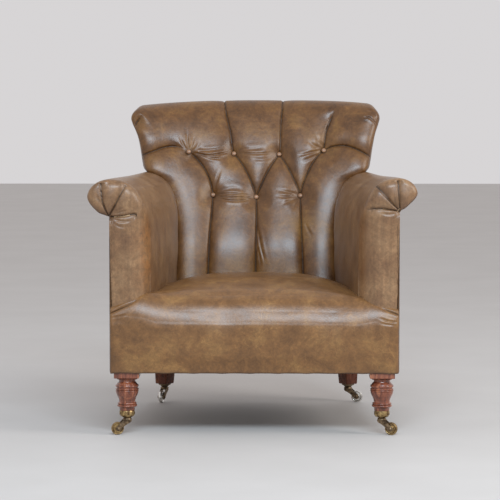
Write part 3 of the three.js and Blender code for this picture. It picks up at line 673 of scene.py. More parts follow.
# Each pleat: its points as x and height, which side laps over (1 is to the left of its direction), and
# the shares of its length over which it fades in and out. Heights over 0.78 run on over the roll.
BACK_PLEATS = back_lines([
    ([(-.061, .678), (-.066, .7), (-.07, .735), (-.077, .765), (-.087, .83), (-.092, 1.0)], -1, 0, 0),
    ([(.062, .676), (.065, .7), (.066, .735), (.067, .765), (.071, .83), (.074, 1.0)], 1, 0, 0),
    ([(.183, .687), (.186, .71), (.191, .74), (.204, .775), (.216, .8)], -1, 0, .35),
    ([(-.183, .684), (-.159, .662), (-.139, .636), (-.126, .608), (-.119, .58), (-.117, .568)], -1, .12, 0),
    ([(-.061, .678), (-.041, .654), (-.024, .625), (-.011, .596), (0.0, .562)], -1, 0, 0),
    ([(.062, .676), (.041, .647), (.024, .617), (.011, .588), (0.0, .562)], 1, 0, 0),
    ([(.062, .676), (.081, .65), (.098, .618), (.112, .588), (.119, .566)], -1, 0, 0),
    ([(.183, .687), (.162, .667), (.144, .637), (.13, .605), (.123, .582), (.119, .566)], 1, 0, 0),
    ([(-.117, .568), (-.12, .52), (-.125, .464), (-.128, .38), (-.13, .31)], -1, 0, 0),
    ([(0.0, .562), (.001, .51), (0.0, .463), (-.001, .38), (-.001, .31)], -1, 0, 0),
    ([(.119, .566), (.121, .52), (.123, .464), (.126, .38), (.127, .31)], 1, 0, 0),
    ([(-.19, .688), (-.218, .699), (-.247, .6975), (-.275, .688), (-.33, .668)], -1, .35, 0),
    ([(.183, .687), (.207, .6985), (.24, .701), (.275, .69), (.33, .66)], 1, .1, 0),
    ([(-.309, .783), (-.319, .776), (-.328, .764), (-.334, .75)], -1, .5, .3),
])

# Each wrinkle: its points, its depth, the share of its length that fades out, and its width.
BACK_WRINKLES = back_lines([
    ([(.001, .5), (.008, .46), (.016, .42), (.027, .38)], 1.1, .45, 1.5),
    ([(.002, .44), (.009, .41), (.014, .375)], .8, .5, 1.3),
    ([(-.116, .576), (-.106, .61), (-.093, .645)], .9, .5, 1.4),
    ([(-.184, .69), (-.186, .712), (-.19, .748)], 1.3, .5, 1.2),
    ([(-.181, .69), (-.174, .708), (-.166, .738)], .9, .5, 1.3),
    ([(-.188, .689), (-.2, .707), (-.21, .732)], 1.0, .5, 1.3),
    ([(-.19, .687), (-.211, .7), (-.234, .712)], .8, .5, 1.6),
    ([(-.176, .685), (-.16, .7), (-.15, .722)], .6, .5, 1.6),
    ([(-.174, .682), (-.126, .6755), (-.07, .684)], 1.5, .25, 1.1),
    ([(-.16, .677), (-.118, .668), (-.088, .666)], 1.0, .4, 1.5),
    ([(-.165, .688), (-.12, .6895), (-.075, .6975)], .7, .4, 1.6),
    ([(-.048, .689), (-.012, .692), (.04, .697)], .45, .45, 2.0),
    ([(-.05, .681), (0.0, .679), (.048, .6825)], .8, .3, 1.3),
    ([(-.012, .665), (.02, .664), (.046, .67)], .5, .4, 1.8),
    ([(.176, .689), (.146, .682), (.106, .672)], 1.1, .5, 1.5),
    ([(.176, .694), (.154, .703), (.136, .722)], .8, .5, 2.0),
    ([(.174, .683), (.148, .668), (.118, .656)], .9, .5, 2.0),
    ([(.179, .697), (.168, .715), (.16, .742)], .7, .5, 1.6),
    ([(-.11, .5695), (-.06, .5725), (-.008, .5655)], .9, .2, 1.15),
    ([(-.11, .5655), (-.058, .5635), (-.008, .562)], 1.3, .15, 1.0),
    ([(-.11, .562), (-.06, .5535), (-.01, .5585)], 1.0, .2, 1.2),
    ([(-.098, .582), (-.06, .588), (-.03, .582)], .5, .45, 2.2),
    ([(.11, .569), (.086, .577), (.048, .584)], .9, .5, 1.7),
    ([(.109, .566), (.085, .564), (.046, .566)], 1.0, .5, 1.3),
    ([(.11, .561), (.088, .553), (.066, .542)], .8, .5, 1.7),
    ([(.114, .556), (.104, .54), (.098, .512)], .6, .5, 1.8),
    ([(.131, .498), (.14, .478), (.152, .46)], .9, .45, 1.4),
    ([(.286, .776), (.302, .7765), (.315, .77), (.325, .76), (.331, .75)], 1.7, .5, 1.0),
    ([(.296, .803), (.312, .796), (.322, .783), (.328, .768)], .8, .5, 1.8),
])

BACK_PITS = [(x, PROFILE.up(z)) for x, z in [*TOP_BUTTONS.values(), *LOWER_BUTTONS.values()]]


def wrapped(q, half, corner, reach=0):
    """Columns across a pad: x, how far in it lies, how far round the corner and how far along the side.

    q runs from -1 to 1 across the face, then on to 2 round the corner and to 3 at the far edge of the side.
    The corner is (width, depth), and reach is the depth of a straight side wall.
    """
    across = np.clip(q, -1, 1)
    turn = np.clip(np.abs(q) - 1, 0, 1) * pi / 2
    wall = np.clip(np.abs(q) - 2, 0, 1)
    x = across * (half - corner[0]) + np.sign(q) * corner[0] * np.sin(turn)
    inward = corner[1] * (1 - np.cos(turn)) + reach * wall
    return x, inward, turn, wall


def across_columns(face, corner, wall):
    right = np.concatenate([np.linspace(1, 2, corner + 1)[1:], np.linspace(2, 3, wall + 1)[1:]])
    return np.concatenate([-right[::-1], np.linspace(-1, 1, face), right])


def back_surface(q, s):
    """The inside back's leather at columns q and lengths s, with how creased it is."""
    q, s = np.meshgrid(q, s)
    depth, z, out_depth, out_z = PROFILE.at(s)
    half = back_half(z) - RIGHT_INSET * (q > 0) * smooth(z, .7, .78)
    over_arms = smooth(z, .6, .65)
    in_roll = smooth(s, ROLL_AT - .045, ROLL_AT + .03)
    low_corner = np.where(q > 0, .068, .06)
    corner = (
        lerp(lerp(low_corner, .05, over_arms), .026, in_roll),
        lerp(lerp(.032, .03, over_arms), .021, in_roll),
    )
    x, inward, turn, wall = wrapped(q, half, corner)
    hollow = .016 * (1 - .85 * smooth(s, ROLL_AT - .01, ROLL_AT + .07))
    push, crease = pleated(x, s, BACK_PLEATS, BACK_WRINKLES, BACK_PITS, reach=.049, hollow=hollow)
    lumbar = .0112 * bell(z, .07, .44) * (1 - .45 * smooth(np.abs(x), .1, .16))
    push = (push - .006 - lumbar * (s < ROLL_AT)) * np.cos(turn) ** .7 * (wall == 0)
    crease = crease * (wall == 0)
    sag = np.where(x < 0, .013 * (np.abs(x) / .31) ** 2.4, .009 * (np.abs(x) / .31) ** 4)
    drop = sag * smooth(s, ROLL_AT - .01, ROLL_AT + .06)
    inward = inward + push
    front_depth = depth - out_depth * inward
    front_z = z - out_z * inward * smooth(s, ROLL_AT - .06, ROLL_AT + .03) - drop
    # The side wall runs back to the outside back, and higher up to the middle of the roll.
    to_roll = np.clip(smooth(z, .655, .775) + (s > ROLL_AT), 0, 1)
    end_depth = lerp(outside_back(z) - .006, ROLL_AXIS[0], to_roll)
    end_z = lerp(z, ROLL_AXIS[1], to_roll)
    dome = lerp(.006, .003, to_roll) * np.sin(pi * np.clip(wall, 0, 1)) * over_arms
    hub = .334 - RIGHT_INSET * (q > 0)
    dome = dome - np.maximum(half - hub, 0) * wall * to_roll
    turned = np.arctan2(end_z - z, end_depth - depth + 1e-6)
    gathered = .0012 * np.sin(18 * turned) * wall * (1 - wall) * (s > ROLL_AT)
    # The wall's far edge is drawn in a little, under the outside back's edge.
    points = place(
        x + np.sign(q) * (dome + gathered) - np.sign(x) * .004 * wall**2,
        lerp(front_depth, end_depth, wall) - bow(x),
        lerp(front_z, end_z, wall),
    )
    return points, crease


def back_leather():
    columns = across_columns(260, 28, 10)
    rows = np.concatenate([np.linspace(0, .045, 6)[:-1], np.linspace(.045, PROFILE.end, 350)])
    coarse = np.linspace(.06, ROLL_AT + .09, 84), np.linspace(-1.6, 1.6, 96)
    points, crease = padded_out(back_surface, rows, columns, *coarse, (0, -1, .3), BACK_SWELL)
    rows = np.linspace(0, PROFILE.end, 60)
    share, s = np.meshgrid(np.linspace(-1, 1, 30), rows)
    depth, z, out_depth, out_z = PROFILE.at(s)
    thickness = lerp(.05, .02, smooth(s, ROLL_AT - .08, ROLL_AT + .02))
    x = share * (back_half(z) - .012)
    lining = place(x, depth - out_depth * thickness - bow(x), z - out_z * thickness)
    nodes = "inside_back_cover", "back_stuffing"
    padded_sheet("back_leather", points, crease, lining, BACK_LEATHER, .85, *nodes)


def button_mesh(name, at, facing, radius, height):
    """A domed, leather-covered button with a rolled edge."""
    profile = [(radius * .8, 0.0), (radius, height * .28), (radius * .98, height * .5)]
    profile += [(radius * cos(a), height * (.5 + .5 * sin(a))) for a in np.linspace(.35, 1.52, 7)]
    piece = lathe(name, profile, 28, None)
    turn = Vector((0, 0, 1)).rotation_difference(Vector(facing)).to_matrix().to_4x4()
    piece.data.transform(Matrix.Translation(Vector(at)) @ turn)
    return piece


def buttons():
    rows = {"top": TOP_BUTTONS, "lower": LOWER_BUTTONS}
    for row, places in rows.items():
        for name, (x, z) in places.items():
            s = PROFILE.up(z)
            depth, height, out_depth, out_z = PROFILE.at(s)
            push, _ = pleated(np.array([x]), np.array([s]), BACK_PLEATS, BACK_WRINKLES, BACK_PITS)
            inward = push[0] - .006 - .0105
            at = place(x, depth - out_depth * inward - bow(x), height)
            piece = button_mesh(f"{row}_button_cap_{name}", at, (0, out_depth, out_z), BUTTON_RADIUS, .0062)
            finish_piece(piece, BUTTON_LEATHER, "leather", f"{row}_button_{name}")


# ---- Arms ----


def along_arm(x, depth):
    """Where a point of the arm's front section goes further back, on the right-hand side."""
    share = np.clip((depth - ARM_FACE) / (ARM_BACK - ARM_FACE), 0, 1)
    arm_width = body_side(depth) - lerp(ARM_INNER, ARM_INNER_BACK + .0015, share)
    inside = arm_width / (BODY_HALF_WIDTH - ARM_INNER)
    scale = np.where(x > BODY_HALF_WIDTH, lerp(1, SCROLL_BACK, share), inside)
    return body_side(depth) + (x - BODY_HALF_WIDTH) * scale


# How each arm's scroll differs from a plain oval: how far its neck and its top are lifted, and its overhang
# at the neck and at its widest, as shares of the oval's.
SCROLL_SHAPE = {"left": (0.0, .0045, .84, 1.09), "right": (.0135, .0072, .5, .9)}


def arm_outline(inset, count):
    """The arm's closed section at the front: x, z and the face's corner radius, evenly from its foot."""
    inside, top = ARM_INNER + inset, ARM_TOP - inset
    points = [(inside, z) for z in np.linspace(ARM_BOTTOM, ARM_SPRING, 30)[:-1]]
    a, b, c, d = np.array([(inside, ARM_SPRING), (inside, SCROLL[1]), (.3, top), (SCROLL[0], top)])
    for t in np.linspace(0, 1, 60):
        points.append((1 - t) ** 3 * a + 3 * t * (1 - t) ** 2 * b + 3 * t * t * (1 - t) * c + t**3 * d)
    for angle in np.linspace(pi / 2, SCROLL_END, 60)[1:]:
        rx, rz = SCROLL_SIZE[0] - inset, SCROLL_SIZE[1] - inset
        points.append((SCROLL[0] + rx * cos(angle), SCROLL[1] + rz * sin(angle)))
    wall = BODY_HALF_WIDTH - .003 - .15 * inset
    points += [(wall + .006, ARM_NECK + .2 * inset), (wall, ARM_NECK - .006)]
    points += [(wall, z) for z in np.linspace(ARM_NECK - .02, ARM_BOTTOM, 20)]
    points += [(x, ARM_BOTTOM) for x in np.linspace(wall, inside, 8)[1:]]
    points = np.array(points)
    lengths = lengths_along(points)
    even = np.linspace(0, lengths[-1], count, endpoint=False)
    x, z = between(even, lengths, points)
    before_neck = lengths[30 + 58 + 59]
    soft = lerp(.055, .02, smooth(z, .5, .61))
    radius = np.where(even < before_neck, soft, .003)
    radius = np.where((x > SCROLL[0]) & (z > ARM_NECK - .004), .014, radius)
    radius = np.where(z < ARM_BOTTOM + .002, .003, radius)
    return x, z, radius


def scroll_shaped(side, x, z):
    neck_lift, top_lift, at_neck, at_widest = SCROLL_SHAPE[side]
    outer = smooth(x, .34, .36)
    up = np.clip((z - ARM_NECK) / (ARM_TOP - ARM_NECK), 0, 1)
    lift = lerp(top_lift * smooth(z, .57, .625), lerp(neck_lift, top_lift, up) * smooth(z, .5, .54), outer)
    overhang = np.maximum(x - BODY_HALF_WIDTH, 0)
    spread = lerp(at_neck, at_widest, smooth(z, .545, .595))
    return np.minimum(x, BODY_HALF_WIDTH) + overhang * spread, z + lift


# The pleats of each arm's face, as x and height on that side, which meet at the scroll's neck.
ARM_PLEATS = {
    "left": [
        ([(.382, .628), (.379, .6), (.375, .576), (.368, .556), (.362, .544)], 1, .05, 0),
        ([(.318, .624), (.333, .594), (.347, .567), (.361, .544)], -1, .08, 0),
        ([(.291, .546), (.3, .5495), (.327, .5445), (.361, .543)], 1, .06, 0),
    ],
    "right": [
        ([(.3555, .634), (.356, .606), (.358, .583), (.36, .557)], -1, .05, 0),
        ([(.3, .622), (.32, .5985), (.338, .578), (.36, .557)], -1, .08, 0),
        ([(.276, .561), (.31, .5635), (.336, .561), (.36, .557)], 1, .15, 0),
    ],
}
ARM_WRINKLES = {
    "left": [
        ([(.352, .549), (.33, .555), (.302, .561)], 1.1),
        ([(.352, .553), (.33, .562), (.306, .572)], .9),
        ([(.35, .536), (.325, .531), (.3, .534)], .9),
        ([(.35, .527), (.33, .518), (.31, .522)], .6),
        ([(.368, .56), (.385, .585), (.394, .602)], .7),
    ],
    "right": [
        ([(.35, .551), (.33, .549), (.308, .553)], .8),
        ([(.35, .566), (.336, .583), (.33, .596)], .9),
        ([(.352, .565), (.345, .583), (.343, .6)], .8),
        ([(.364, .566), (.38, .585), (.392, .6)], .7),
        ([(.3, .571), (.29, .582), (.286, .592)], .7),
    ],
}


def arm_leather(side, sign):
    columns = 230
    x_base, z_base, radius = arm_outline(0, columns)
    x0, z0 = scroll_shaped(side, x_base, z_base)
    middle_x, middle_z = .3605, .546 if side == "left" else .558
    c = 1 - (1 - np.linspace(.02, 1, 60)[:, None]) ** 1.5
    x = middle_x + c * (x0 - middle_x)
    z = middle_z + c * (z0 - middle_z)
    from_edge = np.hypot(x[..., None] - x0, z[..., None] - z0)
    inset = np.clip(radius - from_edge, 0, radius)
    rounded = (radius - np.sqrt(np.maximum(radius**2 - inset**2, 0))).max(-1)
    rounded[-1] = np.maximum(rounded[-1], radius)
    push, crease = pleated(x, z, ARM_PLEATS[side], faint(ARM_WRINKLES[side], 1.3), reach=.03, hollow=.006)
    in_scroll = bell(x, .05, .358) * bell(z, .04, .59)
    belly = .009 * in_scroll + .003 * bell(z, .09, .43) * smooth(.357 - x, 0, .03)
    fade = 1 - smooth(c, .97, 1.0)
    face_depth = ARM_FACE + rounded + (push * lerp(.4, 1, fade) - belly * (1 - c**4))
    face_depth = np.maximum(face_depth, .001)
    body = Body()
    face = place(sign * along_arm(x, face_depth), face_depth, z)
    face_rows = body.grid(face, crease, closed=True)
    body.faces.append(face_rows[0].tolist())

    rows = np.linspace(0, 1, 90)[1:, None]
    depth = lerp(face_depth[-1], outside_back(z_base) - .049, rows**1.15)
    plainer = smooth(depth, .04, .42)
    x_row, z_row = lerp(x0, x_base, plainer), lerp(z0, z_base, plainer)
    swell = .004 * np.sin(pi * rows) * (x0 < .3) * smooth(z0, .34, .42)
    ripples = .0007 * np.sin(z0 * 60 + depth * 14) * np.sin(depth * 31 + 2 * sign) * (x0 < .33)
    # A soft gather where the arm's top meets the back.
    near_back = smooth(depth, .5, .6) * smooth(z_row, .57, .62)
    folds = .0012 * np.sin(depth * 210) * near_back * (x0 < SCROLL[0])
    skin_x = along_arm(x_row, depth) - swell - ripples + folds
    skin_rows = body.grid(place(sign * skin_x, depth, z_row), closed=True)
    body.quads(np.vstack([face_rows[-1], skin_rows[0]]), closed=True)
    x1, z1, _ = arm_outline(.024, 60)
    rear = outside_back(z1) - OUTSIDE_BACK_ROOM
    rows = np.linspace(1, 0, 8)[:, None]
    depth = lerp(ARM_FACE + .022, rear, rows)
    inner_rows = body.grid(place(sign * along_arm(x1 + 0 * depth, depth), depth, z1), closed=True)
    body.zip([*skin_rows[-1], skin_rows[-1][0]], [*inner_rows[0], inner_rows[0][0]])
    body.faces.append(inner_rows[-1].tolist())
    nodes = f"arm_cover_{side}", f"arm_stuffing_{side}"
    add_wear(finish_padded(body, f"arm_leather_{side}", ARM_LEATHER[side], .9, *nodes))


def add_wear(piece):
    """Marks where hands and knees rub the arm: the inner side of its front."""
    points = np.array([v.co for v in piece.data.vertices])
    x, depth, z = np.abs(points[:, 0]), points[:, 1] - FRONT, points[:, 2]
    rubbed = bell(x, .02, .27) * bell(depth, .045, .04)
    mark(piece, "wear", rubbed * smooth(z, .33, .42) * (1 - smooth(z, .5, .57)))


def panel(name, surface, sides, top, columns, rows, thickness, node):
    """A closed sheet of leather tacked down round its edges, with painted shade in its folds there."""
    u, v = np.meshgrid(np.linspace(0, 1, columns), np.linspace(0, 1, rows))
    # Painted shade: darker along both side edges, the top edge and the bottom edge, where the leather folds
    # over the frame.
    crease = .8 * np.exp(-np.minimum(u, 1 - u) * sides) + top[0] * np.exp(-(1 - v) * top[1])
    crease += .5 * np.exp(-v * 90)
    lining = surface(*np.meshgrid(np.linspace(0, 1, 24), np.linspace(0, 1, 16)), thickness)
    padded_sheet(name, surface(u, v, 0), crease, lining, OUTSIDE_LEATHER, .3, node)


def scallops(length, pitch, depth, phase=0.0):
    """The edge of a sheet drawn in between its tacks."""
    return depth * np.abs(np.sin(pi * length / pitch + phase)) ** 1.5


def outside_arm(side, sign):
    def surface(u, v, inset):
        z = lerp(BODY_BOTTOM + .0005, ARM_NECK + .006, v)
        start, end = .0185, outside_back(z) - OUTSIDE_BACK_ROOM
        depth = lerp(start, end, u)
        wide, high = end - start, .39
        edge = np.minimum.reduce([u * wide, (1 - u) * wide, v * high, (1 - v) * high + .006])
        rounded = .0012 * (1 - smooth(edge, 0, .004)) - .004
        tacked = scallops(z, .035, .0016, .4) * np.exp(-u * 60)
        hem = scallops(depth, .06, .0014, 1.1) * np.exp(-v * 40)
        belly = .0012 * np.sin(pi * u) * np.sin(pi * v)
        ripple = .0006 * np.sin(depth * 23 + z * 9) * np.sin(z * 17 + 1)
        out = belly + ripple * smooth(edge, 0, .03) - rounded - inset
        return place(sign * (body_side(depth) + out), depth + tacked, z + hem)

    node = f"outside_arm_cover_{side}"
    panel(f"outside_arm_leather_{side}", surface, 160, (.7, 60), 180, 120, .0022, node)


def outside_back_leather():
    low_half = body_side(.642) - .004

    def half(z):
        upper = np.maximum(low_half, back_half(z) - .012)
        return lerp(low_half, upper, smooth(z, .56, .68))

    def surface(u, v, inset):
        z = lerp(BODY_BOTTOM + .0005, BACK_NECK + .012, v)
        x = (2 * u - 1) * half(z)
        wide, high = .58, .54
        edge = np.minimum.reduce([u * wide, (1 - u) * wide, v * high, (1 - v) * high + .004])
        rounded = .003 * (1 - smooth(edge, 0, .008))
        hem = scallops(x, .065, .0014, .7) * np.exp(-v * 40)
        ripple = .0008 * np.sin(x * 19 + 1) * np.sin(z * 13 + x * 6) * smooth(edge, 0, .05)
        out = ripple - rounded - inset
        return place(x, outside_back(z) - bow(x) + out, z + hem)

    panel("outside_back_leather", surface, 120, (.6, 40), 200, 150, .0024, "outside_back_cover")


# ---- Seat ----

SEAT_FRONT = .095  # length up the front before the lip begins
LIP_TURN = pi / 2 - .27  # the lip turns back until it meets the slope of the dome
LIP_LENGTH = 2 * SEAT_LIP
LIP_SHARE = np.linspace(0, 1, 200)
LIP_ANGLE = LIP_TURN * LIP_SHARE**2
LIP_BACK = 2 * np.cumsum(np.sin(LIP_ANGLE)) / 200  # how far back and up it has come, in its own radii
LIP_UP = 2 * np.cumsum(np.cos(LIP_ANGLE)) / 200

# The top of the lip from the middle out to each corner, as distance from the middle and height.
LIP_TOP = {
    "left": [(0, .3475), (.2, .348), (.259, .3505), (.286, .349), (.319, .3375), (.357, .3235)],
    "right": [
        (0, .3475), (.2, .3455), (.242, .343),
        (.265, .34), (.29, .3355), (.317, .3265), (.357, .316),
    ],
}


def lip(x):
    """The lip's radius and its top's height at x."""
    heights = [np.interp(np.abs(x), *catmull(LIP_TOP[side]).T) for side in ("left", "right")]
    return lerp(SEAT_LIP, .03, smooth(np.abs(x), .24, .35)), np.where(x < 0, *heights)


def seat_height(side, depth):
    rise = np.clip(((depth - SEAT_CROWN_DEPTH) / SEAT_CROWN_DEPTH) ** 2, 0, 1)
    middle = lerp(SEAT_CROWN + .001, SEAT_EDGE, rise * np.where(depth < SEAT_CROWN_DEPTH, 1, .9))
    edge = lerp(.347, .337, rise)
    return lerp(middle, edge, np.abs(side) ** 3.2)


def seat_lines(lines):
    """Lines given by x and height, by x and length up the front instead."""

    def up(x, z):
        radius, top = lip(x)
        start = top - radius * LIP_UP[-1]
        if z < start:
            return (z - BODY_BOTTOM) / (start - BODY_BOTTOM) * SEAT_FRONT
        return SEAT_FRONT + LIP_LENGTH * np.interp((z - start) / radius, LIP_UP, LIP_SHARE)

    return [([(x, up(x, z)) for x, z in line], *rest) for line, *rest in lines]


SEAT_PLEATS = seat_lines([
    ([(-.358, .306), (-.343, .3125), (-.319, .323), (-.3, .333), (-.28, .3435)], 1, .05, .6),
    ([(.358, .3015), (.351, .3045), (.326, .314), (.3, .3255)], -1, .1, .6),
])
SEAT_WRINKLES = seat_lines([
    ([(-.352, .293), (-.33, .299), (-.312, .305)], .7),
    ([(-.345, .3135), (-.32, .3245), (-.3, .335)], .8),
    ([(.354, .283), (.33, .287), (.305, .298)], .9),
    ([(.346, .275), (.325, .279), (.306, .287)], .5),
    ([(-.351, .2), (-.349, .23), (-.352, .27)], .5),
    ([(.35, .19), (.348, .22), (.351, .26)], .5),
])


def seat_surface(q, s):
    q, s = np.meshgrid(q, s)
    top_at = SEAT_FRONT + LIP_LENGTH
    share = np.clip((s - SEAT_FRONT) / LIP_LENGTH, 0, 1)
    angle, back, up = (np.interp(share, LIP_SHARE, table) for table in (LIP_ANGLE, LIP_BACK, LIP_UP))
    on_top = np.maximum(s - top_at, 0)
    wide = np.clip(q, -1, 1) * (BODY_HALF_WIDTH - .007)
    radius, _ = lip(wide)
    depth = radius * back + on_top
    inner = along_arm(ARM_INNER, np.maximum(depth, ARM_FACE)) + .016
    half = lerp(BODY_HALF_WIDTH - .0004, inner, smooth(depth, .035, .085))
    corner = lerp(.007, .014, smooth(depth, .05, .1))
    x, inward, turn, wall = wrapped(q, half, (corner, corner), lerp(.0095, .02, smooth(depth, .05, .1)))
    radius, top = lip(x)
    start = top - radius * LIP_UP[-1]
    lip_depth = radius * LIP_BACK[-1]
    side = np.clip(np.abs(x) / np.maximum(inner - .016, 1e-6), 0, 1)
    depth = np.minimum(depth, SEAT_BACK - bow(x) + .006)
    z = lerp(BODY_BOTTOM, start, np.minimum(s / SEAT_FRONT, 1)) + radius * up
    above = top - seat_height(side, lip_depth)
    z = np.where(on_top > 0, seat_height(side, depth) + above * (1 - smooth(depth, lip_depth, .2)), z)
    wave = .0014 * np.sin(x * 21 + .6) + .0009 * np.sin(x * 47 + 2)
    wave = wave * smooth(s, .07, .13) * (1 - smooth(s, .21, .3))
    push, crease = pleated(x, s, SEAT_PLEATS, faint(SEAT_WRINKLES, 1.6), reach=.017, hollow=.0035)
    belly = .0035 * np.sin(pi * np.clip(s / .13, 0, 1))
    hem = scallops(x, .07, .0016, .5) * np.exp(-s * 110)
    rear_tuck = .02 * smooth(s, top_at + .425, top_at + .45)
    pressed = (wall == 0) * np.cos(turn)
    out = (wave + belly - push) * pressed - inward
    # Painted shade: dark along the bottom edge, where the leather turns under, and on the side walls that
    # tuck in beside the arms.
    tucked_shade = np.maximum(.9 * np.exp(-s / .0025), .7 * smooth(np.abs(q), 1.6, 2.4))
    crease = np.maximum(crease * (wall == 0), tucked_shade)
    return place(x, depth - np.cos(angle) * out, z + np.sin(angle) * out + hem - rear_tuck), crease


def seat_leather():
    columns = across_columns(250, 6, 5)
    top_at = SEAT_FRONT + LIP_LENGTH
    rows = np.concatenate([
        np.linspace(0, top_at + .02, 108),
        np.linspace(top_at + .02, top_at + .455, 130)[1:],
    ])
    coarse = np.linspace(.01, top_at + .4, 70), np.linspace(-1.3, 1.3, 84)
    points, crease = padded_out(seat_surface, rows, columns, *coarse, (0, -.3, 1), SEAT_SWELL)
    # The lining: up behind the front, then back under the stuffing.
    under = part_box("seat_stuffing")[0].z
    path = [(.0036, BODY_BOTTOM + .001), (.0036, .2), (.0036, .26), (.012, .296), (.034, under)]
    path += [(depth, under) for depth in np.linspace(.07, SEAT_BACK - .01, 14)]
    share = np.linspace(-1, 1, 30)
    lining = []
    for depth, z in path:
        inner = along_arm(ARM_INNER, max(depth, ARM_FACE)) - .002
        x = share * lerp(BODY_HALF_WIDTH - .004, inner, smooth(depth, .012, .06))
        lining.append(place(x, np.minimum(depth, SEAT_BACK - bow(x) - .004), z))
    nodes = "seat_cover", "seat_stuffing", "seat_front_roll"
    padded_sheet("seat_leather", points, crease, np.array(lining), SEAT_LEATHER, .9, *nodes)


# ---- Legs ----


def bead(radius, low, high, proud, count=9):
    """A half-round ring between two heights, standing proud of a radius."""
    angles = np.linspace(-pi / 2, pi / 2, count)
    middle, half = (low + high) / 2, (high - low) / 2
    return [(radius + proud * cos(a), middle + half * sin(a)) for a in angles]


def front_leg_profile():
    """The turned leg from its spigot up to the block."""
    foot = [(.0187, .063), (.0192, .0665), (.0212, .0695)]
    vase = [(.0205, .0812), (.02, .0855), (.0222, .0925), (.0252, .0985), (.0275, .1045), (.0281, .1082)]
    neck = [(.0262, .1257), (.024, .1288), (.0212, .1318), (.0202, .1348), (.0205, .1368)]
    return [
        *[(.0142, .0535), (.0142, .0598), (.0176, .0602), (.0184, .0615)],
        *catmull(foot, 5),
        *bead(.0225, .07, .0752, .0026),
        *bead(.0215, .0757, .0805, .0022),
        *catmull(vase, 6),
        *bead(.0276, .1087, .1118, .0014, 7),
        *bead(.0268, .1124, .1158, .0022, 8),
        *[(.0262, .1163), (.0262, .1183)],
        *bead(.0264, .1188, .1252, .0026),
        *catmull(neck, 6),
        (.0222, .1373),
        *bead(.0234, .1376, .1412, .0024),
        *[(.0236, .1416), (.0236, .1435)],
    ]


def round_edges(shape, edges, offset, segments):
    bmesh.ops.bevel(shape, geom=edges, offset=offset, segments=segments, profile=.6, affect="EDGES")


def square(size):
    return [(-size, -size), (size, -size), (size, size), (-size, size)]


def bevelled_prism(low, high, bevel, segments=3):
    """A four-sided bar between two lists of corners, with its edges rounded."""
    sides = [(i, (i + 1) % 4, 4 + (i + 1) % 4, 4 + i) for i in range(4)]
    shape = shape_of([*low, *high], [(3, 2, 1, 0), (4, 5, 6, 7), *sides])
    round_edges(shape, shape.edges[:], bevel, segments)
    return piece_of("bar", shape, 40)


def join(name, pieces):
    """Several meshes as one object."""
    whole = bmesh.new()
    for piece in pieces:
        whole.from_mesh(piece.data)
        bpy.data.objects.remove(piece)
    return piece_of(name, whole, 38)


def front_leg(side, sign):
    bottom, half = .1425, .0315
    low = [(x, y, bottom) for x, y in square(half * .985)]
    high = [(x, y, RAIL_TOP) for x, y in square(half)]
    turned = lathe("turned", front_leg_profile())
    leg = join(f"front_leg_turned_{side}", [turned, bevelled_prism(low, high, .0022)])
    leg.data.transform(Matrix.Translation((sign * LEG[0], FRONT + LEG[1], 0)))
    finish_piece(leg, MAHOGANY, "mahogany", f"front_leg_{side}")


def rear_leg(side, sign):
    c, s = cos(REAR_LEG_TURN), sin(REAR_LEG_TURN)

    def corners(middle, size, z):
        (at_x, depth), half = middle, size / 2
        turned = [(x * c - y * s, x * s + y * c) for x, y in square(half)]
        return [(sign * (at_x + x), FRONT + depth + y, z) for x, y in turned]

    lower = bevelled_prism(corners(REAR_FOOT, .0365, .05), corners(REAR_LEG, .0475, REAR_KNEE), .0028)
    upper = bevelled_prism(corners(REAR_LEG, .043, REAR_KNEE), corners(REAR_LEG, .043, RAIL_TOP), .001, 1)
    leg = join(f"rear_leg_tapered_{side}", [lower, upper])
    finish_piece(leg, SHADED_REAR_MAHOGANY, "mahogany", f"rear_leg_{side}")


# ---- Castors ----

TRAIL = .025
WHEEL_RADIUS = .016
HEADINGS = {"front_left": 200, "front_right": -22, "rear_left": 253, "rear_right": -14}


def castor_place(corner, heading=0.0):
    front, left = corner.startswith("front"), corner.endswith("left")
    x, depth = LEG if front else REAR_FOOT
    at = Matrix.Translation((-x if left else x, FRONT + depth, 0))
    return at @ Matrix.Rotation(radians(heading), 4, "Z")


def holder(corner):
    """What the castor swivels in: a cup round the foot of a turned leg, or a plate under a square one."""
    if corner.startswith("front"):
        name, look = "castor_cup", BRASS
        bowl = [(.0152, .0452), (.0178, .0478), (.0193, .0512), (.0194, .0552), (.0188, .0592)]
        outline = [(.0046, .0434), (.0118, .0434), (.0134, .044), *catmull(bowl, 5)]
        outline += [(.0184, .06), (.0149, .06), (.0146, .0528), (.0046, .0526)]
    else:
        name, look = "castor_plate", DULL_BRASS
        outline = [(.0046, .0434), (.0105, .0434), (.0114, .0442), (.0122, .0462)]
        outline += [(.0158, .0466), (.0168, .0472), (.017, .0492), (.0165, .0496), (.0046, .0496)]
    piece = lathe(f"{corner}_{name}_turned", outline, 56, hollow=True)
    piece.data.transform(castor_place(corner))
    finish_piece(piece, look, "brass", f"{corner}_{name}")


def cheek(outline, side):
    """One side of the fork, from its outline as length and height."""
    shape = bmesh.new()
    face = shape.faces.new([shape.verts.new((x, side * .0058, z)) for x, z in outline])
    out = bmesh.ops.extrude_face_region(shape, geom=[face])["geom"]
    moved = [g for g in out if isinstance(g, bmesh.types.BMVert)]
    bmesh.ops.translate(shape, verts=moved, vec=(0, side * .0026, 0))
    bmesh.ops.recalc_face_normals(shape, faces=shape.faces)
    rim = [e for e in shape.edges if abs(e.verts[0].co.y - e.verts[1].co.y) < 1e-6]
    round_edges(shape, rim, .0006, 2)
    return piece_of("cheek", shape)


